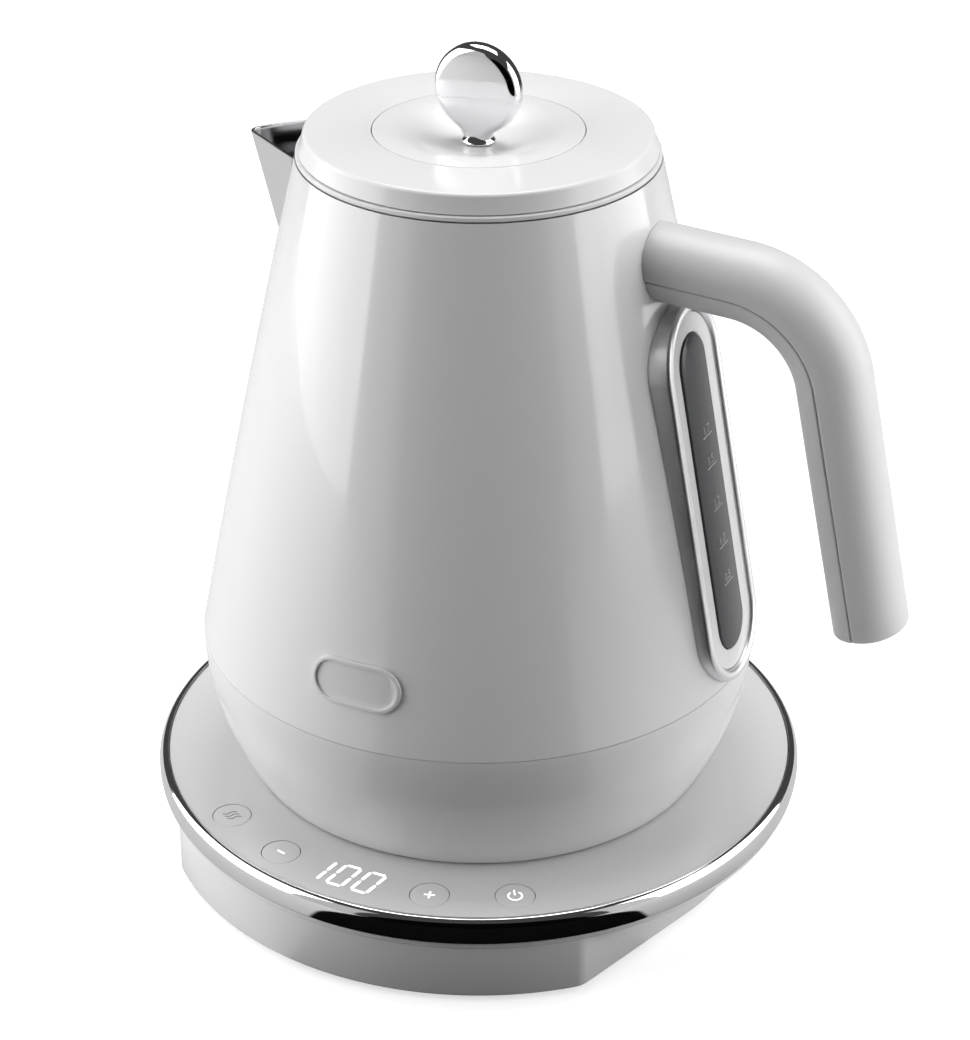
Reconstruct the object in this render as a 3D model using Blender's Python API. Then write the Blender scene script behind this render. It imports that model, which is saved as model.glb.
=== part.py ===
"""Cordless electric jug kettle on its power base, modelled as the pieces it is put together from.

Sizes are in millimetres. The kettle's axis is Z, the table is Z = 0, the handle points to +X,
the spout to -X and the controls on the base to -Y. Each mesh is brought to metres as it becomes an object.
"""

import math

import bmesh
import bpy
from mathutils import Matrix, Vector

MM = 0.001
GAP = 0.3  # air left between two pieces that touch
ROUND = 36  # segments of a large turned piece
MEDIUM_ROUND = 24  # segments of a connector, a control or the knob
SMALL_ROUND = 16  # segments of a button, boss or pin
SCREW_ROUND = 10
PLUNGE = 40.0  # how far a cutter runs past what it cuts
PROFILE_STEPS = 6  # pieces a gently curved wall is drawn with
TURN_STEPS = 8  # pieces of a bend or a rounded end
SHARP_ANGLE = 32.0

# Power base
FOOT_DROP = 1.5
FOOT_R = 6.0
FOOT_SUNK = 1.0
FOOT_CIRCLE_R = 72.0
HOUSING_R = 90.2
CHIN_R = 103.0
CHIN_SIDE_ANGLE = 72.4  # from -Y to where a straight side meets the round back
CHIN_CORNER = 7.0
HOUSING_WALL = 2.2
SHELF_Z = 21.7
SHELF_THICK = 2.2
SHELF_OPENING_R = 77.0
PLATE_THICK = 3.0
RING_R = 105.0
RING_WALL = 1.3
RING_TOP_INSET = 2.5
RING_BOTTOM_INSET = 1.0
RING_PROUD = 0.4
DECK_R = 101.6
DECK_TOP_Z = 30.2
DECK_THICK = 2.5
DECK_SKIRT = 2.2
RECESS_R = 72.0
RECESS_DEPTH = 3.5
RECESS_FLOOR = 2.3
BASE_SCREW_CIRCLE_R = 81.0
BASE_SCREW_LENGTH = 11.0
BOSS_R = 4.2
BOSS_OVERLAP = 1.0  # how far a boss runs into the wall that carries it
POST_R = 3.0
POST_INSET = 5.0  # board corner to the middle of its post
FOOT_CHAMFER = 0.6
RING_INNER_DROP = 0.5
RECESS_DRAFT = 1.0
RECESS_WALL = 2.0
RECESS_FILLET = 1.5

# Controls
BUTTON_CIRCLE_R = 91.5
BUTTON_R = 6.0
BUTTON_STEP_ANGLE = 16.25
BUTTON_TRAVEL = 0.5
BUTTON_FLANGE = 1.0
BUTTON_FLANGE_WIDTH = 0.8
BUTTON_RUNNING = 0.2  # radial clearance in the deck
SWITCH_SIDE = 6.2
SWITCH_HEIGHT = 1.3
PLUNGER_HEIGHT = 0.5
BOARD_THICK = 1.2
BOARD_WIDTH = 15.0
BOARD_CLEAR = 1.0  # board to the deck's skirt
BOARD_HALF_ANGLE = 41.0
DISPLAY_CIRCLE_R = 90.4
DISPLAY_SIZE = (25.0, 13.0, 3.0)

# Supply
TOWER_R = 15.5
TOWER_TOP_Z = 37.0
TOWER_FLANGE_R = 22.0
TOWER_DEPTH = 12.0
TOWER_FOOT = 2.0  # how far the buried part of the tower is wider
TOWER_FLANGE_THICK = 2.4
TOWER_EDGE = 1.0
SLOT_R = 7.7
SLOT_WIDTH = 3.0
SLOT_UNDER_DECK = 0.7
PIN_HOLE_R = 3.0
CONTACT_CLEAR = 0.8
SOCKET_WALL = 3.2
SOCKET_CLEAR = 0.6
SOCKET_ROOF = 4.5
SOCKET_HEADROOM = 1.5
SOCKET_LIFT = 2.5  # recess floor to the mouth of the socket
SOCKET_FLARE = 1.0
CONTACT_TIP = 1.0
POWER_BOARD_SIZE = (70.0, 46.0, 1.6)
POWER_BOARD_Y = 45.0
POWER_BOARD_LIFT = 3.2
RELAY_SIZE = (20.0, 15.0, 11.0)
RELAY_EDGE = 1.0
GLAND_R = 5.0
GLAND_BORE_R = 3.2
GLAND_Z = 11.5
GLAND_FLANGE = 2.0
GLAND_FLANGE_THICK = 2.5
GLAND_NOSE_TAPER = 0.6

# Jug
FOOT_EDGE_R = 75.1
FOOT_EDGE_Z = 30.7
SEAM_R = 88.2
SEAM_Z = 76.2
RIM_R = 54.4
RIM_Z = 233.3
BODY_BULGE = 0.7  # how far the side swells out of a straight cone
BODY_WALL = 1.0
COLLAR_WALL = 2.2
COLLAR_FLANGE_R = 54.0
COLLAR_FLANGE_THICK = 2.2
SKIRT_DEPTH = 9.5
FLOOR_DEPTH = 5.7  # seam to the water side of the floor
FLOOR_THICK = 1.5
NECK_STEP = 2.0  # seam to where the shell is full thickness inside
FLOOR_SEAL_WIDTH = 2.6
FLOOR_SEAL_HEIGHT = 4.0
SPREADER_R = 60.0
SPREADER_THICK = 2.8
ELEMENT_R = 46.0
ELEMENT_TUBE_R = 3.3
ELEMENT_SWEEP = 300.0
CONTROL_R = 21.0
PROBE_R = 2.5
PROBE_X = 29.0
PROBE_RISE = 4.0
PROBE_TAIL = 8.0
PROBE_TIP = 1.0
CONTROL_STEP = 10.0
CONTROL_WAIST = 4.0
CONTROL_TAPER = 2.0
COVER_THICK = 2.4
COVER_RING_R = 69.0
COVER_RING_WIDTH = 5.0
COVER_HOLE_CLEAR = 0.7
COVER_SCREW_CIRCLE_R = 60.0
COVER_BOSS_HEIGHT = 8.0
COVER_RING_CHAMFER = 1.0
RIM_SLEEVE_WALL = 1.4
RIM_SLEEVE_DEPTH = 6.3
RIM_FLANGE = 1.4
RIM_INSET = 0.2

# Spout
SPOUT_REACH = 76.9
SPOUT_HALF_WIDTH = 24.1
SPOUT_ROOT_X = 48.3
SPOUT_TIP_ROUND = 3.5
SPOUT_TIP_Z = 228.5
SPOUT_ROOT_Z = 231.3
SPOUT_KEEL_Z = 184.4
SPOUT_WALL = 0.8
SPOUT_STRETCH = 1.2  # the hollow's wedge is drawn out past the lip by this much
SPOUT_APEX_IN = 1.0  # point where the two flanks meet, inside the shell
SPOUT_APEX_DROP = 3.6
SPOUT_BURIED = 12.0  # how far the wedge runs into the body before it is trimmed
SPOUT_LEDGE = 2.2  # shell left round the pouring hole
STRAINER_SIZE = (36.0, 36.0, 0.8)
STRAINER_DROP = 10.0  # rim to its upper edge
STRAINER_SLOTS = 6
STRAINER_SIDE = 5.0  # width left over beside the slots
STRAINER_END = 3.5
STRAINER_SLOT_WIDTH = 3.0

# Handle
HANDLE_HALF_WIDTH = 12.8
HANDLE_HALF_DEPTH = 10.8
HANDLE_WALL = 3.0
HANDLE_BACK_POWER = 2.0  # the back of the section is an ellipse
HANDLE_FINGER_POWER = 2.7  # and the finger side is squarer
HANDLE_BURIED = 6.0  # how far it runs into the body before it is trimmed
HANDLE_SPLIT = 2.2  # centreline to the seam on the finger side
HANDLE_BEND_X = 82.2
HANDLE_BEND_Z = 176.2
HANDLE_BEND_R = 32.8
HANDLE_ARM_SLOPE = 3.0
HANDLE_LEAN = 12.0
HANDLE_GRIP = 80.4
HANDLE_END_ROUND = 2.0
HANDLE_END_CAP = 4.0
BRACKET_WIDTH = 12.0
BRACKET_TONGUE = 11.0
BRACKET_PLATE = 6.0
BRACKET_DROP = 1.4  # how far the plate reaches below the arm's centreline
BRACKET_DEPTH = 2.5  # plate, out from the shell
BRACKET_REACH = 30.0
BRACKET_THICK = 2.5
HANDLE_SCREW_OUT = 19.0
HANDLE_SCREW_SUNK = 1.0
HANDLE_SCREW_BITE = 2.0  # thread past the arm's centreline

# Water window
WINDOW_Z = 137.2
WINDOW_PROUD = 2.6  # lens over the shell at its middle
WINDOW_TILT = 10.7
WINDOW_HALF_LENGTH = 51.6
LENS_HALF_WIDTH = 9.2
LENS_DEPTH = 6.5
FRAME_WIDTH = 6.1
FRAME_SUNK = 0.5
BEZEL_WIDTH = 3.4
BEZEL_PROUD = 0.9
GASKET_WIDTH = 1.2

# Badge
BADGE_Z = 96.0
BADGE_HALF_WIDTH = 14.75
BADGE_HALF_HEIGHT = 7.25
BADGE_THICK = 1.2

# Lid
LID_EDGE_R = 53.4
LID_EDGE_Z = 235.3
LID_SHOULDER_R = 52.0
LID_TOP_Z = 241.0
LID_SHOULDER_ROUND = 1.2
LID_WALL = 2.0
LID_DISC_R = 31.4
DIMPLE_R = 26.0
DIMPLE_DEPTH = 4.0
DIMPLE_FLOOR_R = 9.0
PLUG_DEPTH = 9.0
PLUG_WALL = 1.5
PLUG_EDGE = 1.0
SEAL_HEIGHT = 3.0
SEAL_WIDTH = 1.4
SEAL_LIFT = 2.0

# Knob
KNOB_R = 13.7
KNOB_HALF_THICK = 3.4
KNOB_RISE = 16.4  # dimple floor to the middle of the paddle
KNOB_FACE_R = 8.6
KNOB_FACE_SUNK = 0.6
KNOB_NECK_R = 4.1
KNOB_FOOT_R = 5.2
KNOB_FOOT_EDGE = 0.4
KNOB_FOOT_HEIGHT = 1.6
KNOB_NECK_BITE = 5.0  # how far the neck runs up into the paddle
KNOB_THREAD = 8.0
KNOB_SCREW_SUNK = 0.5  # head inside the plug
KNOB_SCREW_BITE = 7.0

# Fasteners
SCREW_R = 1.5
SCREW_HEAD_R = 3.4
SCREW_HEAD_HEIGHT = 1.1
SCREW_CLEAR = 0.3


# ---- heights that follow from the sizes above ----

PLATE_TOP_Z = FOOT_DROP + PLATE_THICK
SHELF_UNDER_Z = SHELF_Z - SHELF_THICK
DECK_UNDER_Z = DECK_TOP_Z - DECK_THICK
RECESS_Z = DECK_TOP_Z - RECESS_DEPTH
RECESS_UNDER_Z = RECESS_Z - RECESS_FLOOR
TOWER_BASE_Z = RECESS_UNDER_Z - TOWER_DEPTH
SLOT_FLOOR_Z = RECESS_Z - SLOT_UNDER_DECK
SOCKET_INNER_R = TOWER_R + SOCKET_CLEAR
SOCKET_OUTER_R = SOCKET_INNER_R + SOCKET_WALL
SOCKET_ROOF_Z = TOWER_TOP_Z + SOCKET_HEADROOM
SOCKET_TOP_Z = SOCKET_ROOF_Z + SOCKET_ROOF
BOARD_Z = SHELF_Z + GAP
SWITCH_Z = BOARD_Z + BOARD_THICK + GAP
SWITCH_TOP_Z = SWITCH_Z + SWITCH_HEIGHT + PLUNGER_HEIGHT
BUTTON_FOOT_Z = SWITCH_TOP_Z + GAP + BUTTON_TRAVEL
FLOOR_Z = SEAM_Z - FLOOR_DEPTH
FLOOR_UNDER_Z = FLOOR_Z - FLOOR_THICK
SPREADER_Z = FLOOR_UNDER_Z - GAP - SPREADER_THICK
SKIRT_R = SEAM_R - COLLAR_WALL - GAP
COVER_Z = FOOT_EDGE_Z + GAP
COLLAR_FLANGE_Z = COVER_Z + COVER_THICK + GAP
SLEEVE_R = RIM_R - BODY_WALL - GAP - RIM_SLEEVE_WALL
PLUG_R = SLEEVE_R - GAP - SEAL_WIDTH - GAP
PLUG_Z = LID_EDGE_Z - PLUG_DEPTH
DIMPLE_Z = LID_TOP_Z - DIMPLE_DEPTH
LID_UNDER_Z = LID_TOP_Z - LID_WALL
KNOB_Z = DIMPLE_Z + KNOB_RISE


# ---- tools ----


def clear_scene():
    for thing in list(bpy.data.objects):
        bpy.data.objects.remove(thing)


def finish(name, colour, roughness, metallic=0.0, transmission=0.0):
    """A material with one plain finish."""
    material = bpy.data.materials.new(name)
    material.use_nodes = True
    shader = material.node_tree.nodes["Principled BSDF"]
    shader.inputs["Base Color"].default_value = (*colour, 1.0)
    shader.inputs["Roughness"].default_value = roughness
    shader.inputs["Metallic"].default_value = metallic
    shader.inputs["Transmission Weight"].default_value = transmission
    material.diffuse_color = (*colour, 1.0)
    return material


def add(name, shape, material=None, origin=(0.0, 0.0, 0.0)):
    """An object in metres from a bmesh in millimetres, with its origin at that point."""
    bmesh.ops.recalc_face_normals(shape, faces=shape.faces)
    bmesh.ops.translate(shape, verts=shape.verts, vec=-Vector(origin))
    bmesh.ops.scale(shape, verts=shape.verts, vec=(MM, MM, MM))
    mesh = bpy.data.meshes.new(name)
    shape.to_mesh(mesh)
    shape.free()
    mesh.shade_smooth()
    mesh.set_sharp_from_angle(angle=math.radians(SHARP_ANGLE))
    thing = bpy.data.objects.new(name, mesh)
    thing.location = Vector(origin) * MM
    bpy.context.scene.collection.objects.link(thing)
    if material:
        mesh.materials.append(material)
    else:
        thing.hide_render = True
        thing.display_type = "WIRE"
    return thing


def combine(thing, operation, *others):
    for other in others:
        boolean = thing.modifiers.new(f"{operation.lower()} {other.name}", "BOOLEAN")
        boolean.operation = operation
        boolean.object = other


def cut(thing, *cutters):
    combine(thing, "DIFFERENCE", *cutters)


def join(thing, *others):
    combine(thing, "UNION", *others)


def turned(profile, segments=ROUND):
    """A (radius, height) profile turned about Z. One that starts and ends on the axis isn't closed there."""
    shape = bmesh.new()
    points = [shape.verts.new((r, 0, z)) for r, z in profile]
    ends = [] if profile[0][0] == profile[-1][0] == 0 else [(points[-1], points[0])]
    edges = [shape.edges.new(pair) for pair in [*zip(points, points[1:]), *ends]]
    bmesh.ops.spin(
        shape, geom=points + edges, cent=(0, 0, 0), axis=(0, 0, 1),
        angle=2 * math.pi, steps=segments, use_merge=True,
    )
    bmesh.ops.remove_doubles(shape, verts=shape.verts, dist=1e-4)
    return shape


def skin(loops, ring=False):
    """Closed loops of equally many points joined one to the next, with flat ends or as a closed ring."""
    shape = bmesh.new()
    rows = [[shape.verts.new(point) for point in loop] for loop in loops]
    for row, following in zip(rows, rows[1:] + (rows[:1] if ring else [])):
        for i in range(len(row)):
            j = (i + 1) % len(row)
            shape.faces.new((row[i], row[j], following[j], following[i]))
    if not ring:
        shape.faces.new(rows[0])
        shape.faces.new(rows[-1])
    return shape


def prism(outline, low, high):
    return skin([[(x, y, z) for x, y in outline] for z in (low, high)])


def tube(outer, inner, low, high):
    """A straight wall between two outlines of equally many points."""
    at = [(outer, low), (outer, high), (inner, high), (inner, low)]
    return skin([[(x, y, z) for x, y in outline] for outline, z in at], ring=True)


def pole(radius, low, high, centre=(0.0, 0.0), segments=SMALL_ROUND):
    x, y = centre
    return prism([(x + radius * c, y + radius * s) for c, s in circle(segments)], low, high)


def circle(segments):
    angles = [2 * math.pi * i / segments for i in range(segments)]
    return [(math.cos(a), math.sin(a)) for a in angles]


def block(size, centre):
    shape = bmesh.new()
    bmesh.ops.create_cube(shape, size=1.0)
    bmesh.ops.scale(shape, verts=shape.verts, vec=size)
    bmesh.ops.translate(shape, verts=shape.verts, vec=centre)
    return shape


def put(shape, matrix):
    bmesh.ops.transform(shape, matrix=matrix, verts=shape.verts)
    return shape


def arc(centre, radius, start, end, steps):
    """Points from one angle to another, in degrees, both ends included."""
    angles = [math.radians(start + (end - start) * i / steps) for i in range(steps + 1)]
    return [(centre[0] + radius * math.cos(a), centre[1] + radius * math.sin(a)) for a in angles]


def on_circle(radius, degrees):
    """A point at that angle from -Y, towards +X."""
    a = math.radians(degrees)
    return radius * math.sin(a), -radius * math.cos(a)


def steps_between(low, high, steps):
    return [low + (high - low) * i / steps for i in range(steps + 1)]


def stadium(half_width, half_length, steps=6):
    """A long hole's outline, its length along the second axis."""
    straight = half_length - half_width
    return arc((0, straight), half_width, 0, 180, steps) + arc((0, -straight), half_width, 180, 360, steps)


def screw(name, centre, head_z, length, material):
    """A pan-head screw pointing up from head_z, where its head begins."""
    top = head_z + SCREW_HEAD_HEIGHT
    profile = [
        (0, head_z), (SCREW_HEAD_R, head_z), (SCREW_HEAD_R, top), (SCREW_R, top),
        (SCREW_R, top + length - SCREW_R), (0, top + length),
    ]
    shape = turned(profile, SCREW_ROUND)
    bmesh.ops.translate(shape, verts=shape.verts, vec=(*centre, 0))
    return add(name, shape, material)


# ---- outlines that several pieces share ----


def body_radius(z):
    t = (z - SEAM_Z) / (RIM_Z - SEAM_Z)
    return SEAM_R + (RIM_R - SEAM_R) * t + BODY_BULGE * 4 * t * (1 - t)


def body_slope(z):
    """Lean of the side at that height, in degrees, positive where it leans inwards."""
    return math.degrees(math.atan(body_radius(z - 0.5) - body_radius(z + 0.5)))


def collar_radius(z):
    t = (SEAM_Z - z) / (SEAM_Z - FOOT_EDGE_Z)
    return SEAM_R - (SEAM_R - FOOT_EDGE_R) * t * t


def around_body(name, offset):
    """The outer body as a solid, grown by offset, that trims what is fixed to its outside."""
    heights = steps_between(SEAM_Z, RIM_Z, PROFILE_STEPS)
    side = [(body_radius(z) + offset, z) for z in heights]
    low, high = heights[0] - PLUNGE, heights[-1] + PLUNGE
    profile = [(0, low), (side[0][0], low), *side, (side[-1][0], high), (0, high)]
    return add(name, turned(profile))


def base_outline(inset=0.0):
    """The base seen from above: a round back, a wide arc in front, and straight sides between them."""
    back, front = HOUSING_R - inset, CHIN_R - inset
    corner = CHIN_CORNER - inset
    side = math.radians(CHIN_SIDE_ANGLE)
    # The corner's centre lies a corner radius inside both the straight side and the front arc.
    reach = front - corner
    turn = side - math.acos((back - corner) / reach)
    centre = (reach * math.sin(turn), -reach * math.cos(turn))
    front_end, side_end = math.degrees(turn) - 90, CHIN_SIDE_ANGLE - 90
    right = arc((0, 0), front, -90, front_end, TURN_STEPS) + arc(centre, corner, front_end, side_end, 3)[1:]
    rear = arc((0, 0), back, side_end, 90, 12)
    half = right + rear
    return half + [(-x, y) for x, y in half[-2:0:-1]]


# ---- power base ----


def make_base_housing(white):
    housing = add("base_housing", prism(base_outline(), FOOT_DROP, SHELF_Z), white)
    shelf_r = RING_R - RING_BOTTOM_INSET - RING_WALL / 2
    shelf = add("shelf", pole(shelf_r, SHELF_UNDER_Z, SHELF_Z, segments=ROUND))
    inside = add("housing inside", prism(base_outline(HOUSING_WALL), -PLUNGE, SHELF_UNDER_Z))
    opening = add("shelf opening", pole(SHELF_OPENING_R, 0, PLUNGE, segments=ROUND))
    join(housing, shelf)
    cut(housing, inside, opening)
    for i, centre in enumerate(base_screw_places()):
        boss = add(f"boss {i}", pole(BOSS_R, PLATE_TOP_Z + GAP, SHELF_UNDER_Z + BOSS_OVERLAP, centre))
        hole = pole(SCREW_R + SCREW_CLEAR, -PLUNGE, SHELF_UNDER_Z - BOSS_OVERLAP, centre, SCREW_ROUND)
        thread = add(f"thread {i}", hole)
        join(housing, boss)
        cut(housing, thread)
    cut(housing, gland_hole())


def base_screw_places():
    return [on_circle(BASE_SCREW_CIRCLE_R, angle) for angle in (0, 120, 240)]


def foot_places():
    return [on_circle(FOOT_CIRCLE_R, angle) for angle in (45, 135, 225, 315)]


def make_bottom_plate(white):
    outline = base_outline(HOUSING_WALL + GAP)
    plate = add("base_bottom_plate", prism(outline, FOOT_DROP, PLATE_TOP_Z), white)
    head_z = FOOT_DROP + GAP
    for i, centre in enumerate(foot_places()):
        cut(plate, add(f"foot pocket {i}", pole(FOOT_R + GAP, -PLUNGE, FOOT_DROP + FOOT_SUNK, centre)))
    for i, centre in enumerate(base_screw_places()):
        head_top = head_z + SCREW_HEAD_HEIGHT + GAP
        cut(
            plate,
            add(f"plate counterbore {i}", pole(SCREW_HEAD_R + GAP, -PLUNGE, head_top, centre, SCREW_ROUND)),
            add(f"plate hole {i}", pole(SCREW_R + SCREW_CLEAR, -PLUNGE, PLUNGE, centre, SCREW_ROUND)),
        )
    width, depth, _ = POWER_BOARD_SIZE
    for i, (sx, sy) in enumerate([(-1, -1), (1, -1), (1, 1), (-1, 1)]):
        centre = (sx * (width / 2 - POST_INSET), POWER_BOARD_Y + sy * (depth / 2 - POST_INSET))
        post = pole(POST_R, PLATE_TOP_Z - BOSS_OVERLAP, PLATE_TOP_Z + POWER_BOARD_LIFT, centre)
        join(plate, add(f"board post {i}", post))


def make_base_screws(steel):
    for i, centre in enumerate(base_screw_places()):
        screw(f"base_screw_{i + 1}", centre, FOOT_DROP + GAP, BASE_SCREW_LENGTH, steel)


def make_feet(rubber):
    for i, (x, y) in enumerate(foot_places()):
        top = FOOT_DROP + FOOT_SUNK - GAP
        profile = [(0, 0), (FOOT_R - FOOT_CHAMFER, 0), (FOOT_R, FOOT_CHAMFER), (FOOT_R, top), (0, top)]
        shape = turned(profile, SMALL_ROUND)
        bmesh.ops.translate(shape, verts=shape.verts, vec=(x, y, 0))
        add(f"base_foot_{i + 1}", shape, rubber)


def make_base_ring(chrome):
    """A rolled band: its outside is a half round between a drawn-in top and bottom edge."""
    top, bottom = DECK_TOP_Z + RING_PROUD, SHELF_Z + GAP
    middle = (top + bottom) / 2
    half = (top - bottom) / 2
    outside = []
    for angle in steps_between(-90, 90, 5):
        a = math.radians(angle)
        inset = RING_TOP_INSET if angle > 0 else RING_BOTTOM_INSET
        outside.append((RING_R - inset * (1 - math.cos(a)), middle + half * math.sin(a)))
    bore = DECK_R + GAP
    inside = [(bore, top - RING_INNER_DROP), (bore, bottom)]
    add("base_ring", turned([*outside, *inside]), chrome)


def make_deck(white):
    lip = RECESS_R - RECESS_DRAFT
    hole = TOWER_R + GAP
    skirt = DECK_R - DECK_SKIRT
    profile = [
        (DECK_R, SHELF_Z + GAP), (DECK_R, DECK_TOP_Z), (RECESS_R, DECK_TOP_Z), (lip, RECESS_Z),
        (hole, RECESS_Z), (hole, RECESS_UNDER_Z), (lip + RECESS_WALL, RECESS_UNDER_Z),
        (lip + RECESS_WALL + RECESS_FILLET, DECK_UNDER_Z), (skirt, DECK_UNDER_Z), (skirt, SHELF_Z + GAP),
    ]
    deck = add("base_deck", turned(profile), white)
    for name, centre in button_places().items():
        hole = pole(BUTTON_R + BUTTON_RUNNING, RECESS_UNDER_Z, DECK_TOP_Z + PLUNGE, centre)
        cut(deck, add(f"hole for {name}", hole))


def button_places():
    places = {"button_keep_warm": -2, "button_minus": -1, "button_plus": 1, "button_power": 2}
    return {name: on_circle(BUTTON_CIRCLE_R, i * BUTTON_STEP_ANGLE) for name, i in places.items()}


def make_buttons(white):
    for name, (x, y) in button_places().items():
        flange_r, flange_top = BUTTON_R + BUTTON_FLANGE_WIDTH, BUTTON_FOOT_Z + BUTTON_FLANGE
        profile = [
            (0, BUTTON_FOOT_Z), (flange_r, BUTTON_FOOT_Z), (flange_r, flange_top),
            (BUTTON_R, flange_top), (BUTTON_R, DECK_TOP_Z), (0, DECK_TOP_Z),
        ]
        shape = turned(profile, SMALL_ROUND)
        bmesh.ops.translate(shape, verts=shape.verts, vec=(x, y, 0))
        add(name, shape, white, origin=(x, y, DECK_TOP_Z))


def make_switches(black):
    for name, (x, y) in button_places().items():
        size = (SWITCH_SIDE, SWITCH_SIDE, SWITCH_HEIGHT)
        shape = block(size, (x, y, SWITCH_Z + SWITCH_HEIGHT / 2))
        top = max(shape.faces, key=lambda face: face.calc_center_median().z)
        bmesh.ops.inset_individual(shape, faces=[top], thickness=SWITCH_SIDE / 4)
        plunger = bmesh.ops.extrude_face_region(shape, geom=[top])["geom"]
        bmesh.ops.delete(shape, geom=[top], context="FACES_ONLY")
        raised = [v for v in plunger if isinstance(v, bmesh.types.BMVert)]
        bmesh.ops.translate(shape, verts=raised, vec=(0, 0, PLUNGER_HEIGHT))
        add(name.replace("button", "switch"), shape, black)


def make_control_board(green):
    outer = DECK_R - DECK_SKIRT - BOARD_CLEAR
    inner = outer - BOARD_WIDTH
    start, end = -90 - BOARD_HALF_ANGLE, -90 + BOARD_HALF_ANGLE
    outline = arc((0, 0), outer, start, end, 14) + arc((0, 0), inner, end, start, 14)
    add("control_board", prism(outline, BOARD_Z, BOARD_Z + BOARD_THICK), green)


def make_display(black):
    z = BOARD_Z + BOARD_THICK + GAP + DISPLAY_SIZE[2] / 2
    add("display_module", block(DISPLAY_SIZE, (0, -DISPLAY_CIRCLE_R, z)), black)


def make_base_connector(black):
    flange_top = RECESS_UNDER_Z - GAP
    flange_under = flange_top - TOWER_FLANGE_THICK
    foot_r = TOWER_R + TOWER_FOOT
    low, high = SLOT_R - SLOT_WIDTH / 2, SLOT_R + SLOT_WIDTH / 2
    profile = [
        (0, TOWER_BASE_Z), (foot_r, TOWER_BASE_Z), (foot_r, flange_under),
        (TOWER_FLANGE_R, flange_under), (TOWER_FLANGE_R, flange_top), (TOWER_R, flange_top),
        (TOWER_R, TOWER_TOP_Z - TOWER_EDGE), (TOWER_R - TOWER_EDGE, TOWER_TOP_Z),
        (high, TOWER_TOP_Z), (high, SLOT_FLOOR_Z),
        (low, SLOT_FLOOR_Z), (low, TOWER_TOP_Z), (PIN_HOLE_R, TOWER_TOP_Z), (PIN_HOLE_R, SLOT_FLOOR_Z),
        (0, SLOT_FLOOR_Z),
    ]
    add("base_connector", turned(profile, MEDIUM_ROUND), black)


def make_power_board(green):
    low = PLATE_TOP_Z + POWER_BOARD_LIFT + GAP
    add("power_board", block(POWER_BOARD_SIZE, (0, POWER_BOARD_Y, low + POWER_BOARD_SIZE[2] / 2)), green)


def make_relay(black):
    low = PLATE_TOP_Z + POWER_BOARD_LIFT + GAP + POWER_BOARD_SIZE[2] + GAP
    shape = block(RELAY_SIZE, (-POWER_BOARD_SIZE[0] / 5, POWER_BOARD_Y, low + RELAY_SIZE[2] / 2))
    bmesh.ops.bevel(
        shape, geom=shape.edges, offset=RELAY_EDGE, segments=1, profile=0.5, affect="EDGES", material=-1
    )
    add("power_relay", shape, black)


def gland_hole():
    shape = put(pole(GLAND_R + GAP, 0, PLUNGE), Matrix.Rotation(math.radians(-90), 4, "X"))
    bmesh.ops.translate(shape, verts=shape.verts, vec=(0, HOUSING_R - PLUNGE / 2, GLAND_Z))
    return add("gland hole", shape)


def make_gland(rubber):
    """A bush with a flange on each side of the housing wall, lying along +Y."""
    flange = GLAND_R + GLAND_FLANGE
    inside = math.sqrt((HOUSING_R - HOUSING_WALL) ** 2 - flange**2) - GAP
    outside = HOUSING_R + GAP
    tail, nose = inside - GLAND_FLANGE_THICK, outside + GLAND_FLANGE_THICK
    profile = [
        (GLAND_BORE_R, tail), (flange, tail), (flange, inside), (GLAND_R, inside), (GLAND_R, outside),
        (flange, outside), (flange - GLAND_NOSE_TAPER, nose), (GLAND_BORE_R, nose),
    ]
    shape = put(turned(profile, SMALL_ROUND), Matrix.Rotation(math.radians(-90), 4, "X"))
    bmesh.ops.translate(shape, verts=shape.verts, vec=(0, 0, GLAND_Z))
    add("cord_gland", shape, rubber)


# ---- jug connector, which lifts straight off the base ----


def make_jug_connector(black):
    low = RECESS_Z + SOCKET_LIFT
    profile = [
        (0, SOCKET_ROOF_Z), (SOCKET_INNER_R, SOCKET_ROOF_Z), (SOCKET_INNER_R, low + SOCKET_FLARE),
        (SOCKET_INNER_R + SOCKET_FLARE, low),
        (SOCKET_OUTER_R, low), (SOCKET_OUTER_R, SOCKET_TOP_Z), (0, SOCKET_TOP_Z),
    ]
    add("jug_connector", turned(profile, MEDIUM_ROUND), black)


def make_contacts(brass):
    low, high = SLOT_FLOOR_Z + CONTACT_TIP, SOCKET_ROOF_Z - GAP
    half = SLOT_WIDTH / 2 - CONTACT_CLEAR
    inner, outer = SLOT_R - half, SLOT_R + half
    ring = [(outer, low), (outer, high), (inner, high), (inner, low)]
    add("jug_contact_ring", turned(ring, MEDIUM_ROUND), brass)
    pin_r = PIN_HOLE_R - CONTACT_CLEAR
    pin = [(0, low), (pin_r - CONTACT_TIP, low), (pin_r, low + CONTACT_TIP), (pin_r, high), (0, high)]
    add("jug_earth_pin", turned(pin, SCREW_ROUND), brass)


# ---- jug ----


def make_body_shell(paint):
    seam = SEAM_Z + GAP / 2
    foot = SEAM_Z - SKIRT_DEPTH
    outside = [(body_radius(z), z) for z in steps_between(seam, RIM_Z, PROFILE_STEPS)]
    inside = [(r - BODY_WALL, z) for r, z in reversed(outside[1:])]
    neck = SKIRT_R - BODY_WALL
    profile = [(SKIRT_R, foot), (SKIRT_R, seam), *outside, *inside, (neck, seam + NECK_STEP), (neck, foot)]
    shell = add("body_shell", turned(profile), paint)
    sight = window_prism("window hole", LENS_HALF_WIDTH + 2 * GAP + GASKET_WIDTH, PLUNGE, -PLUNGE)
    cut(shell, pouring_hole(), sight)


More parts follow.
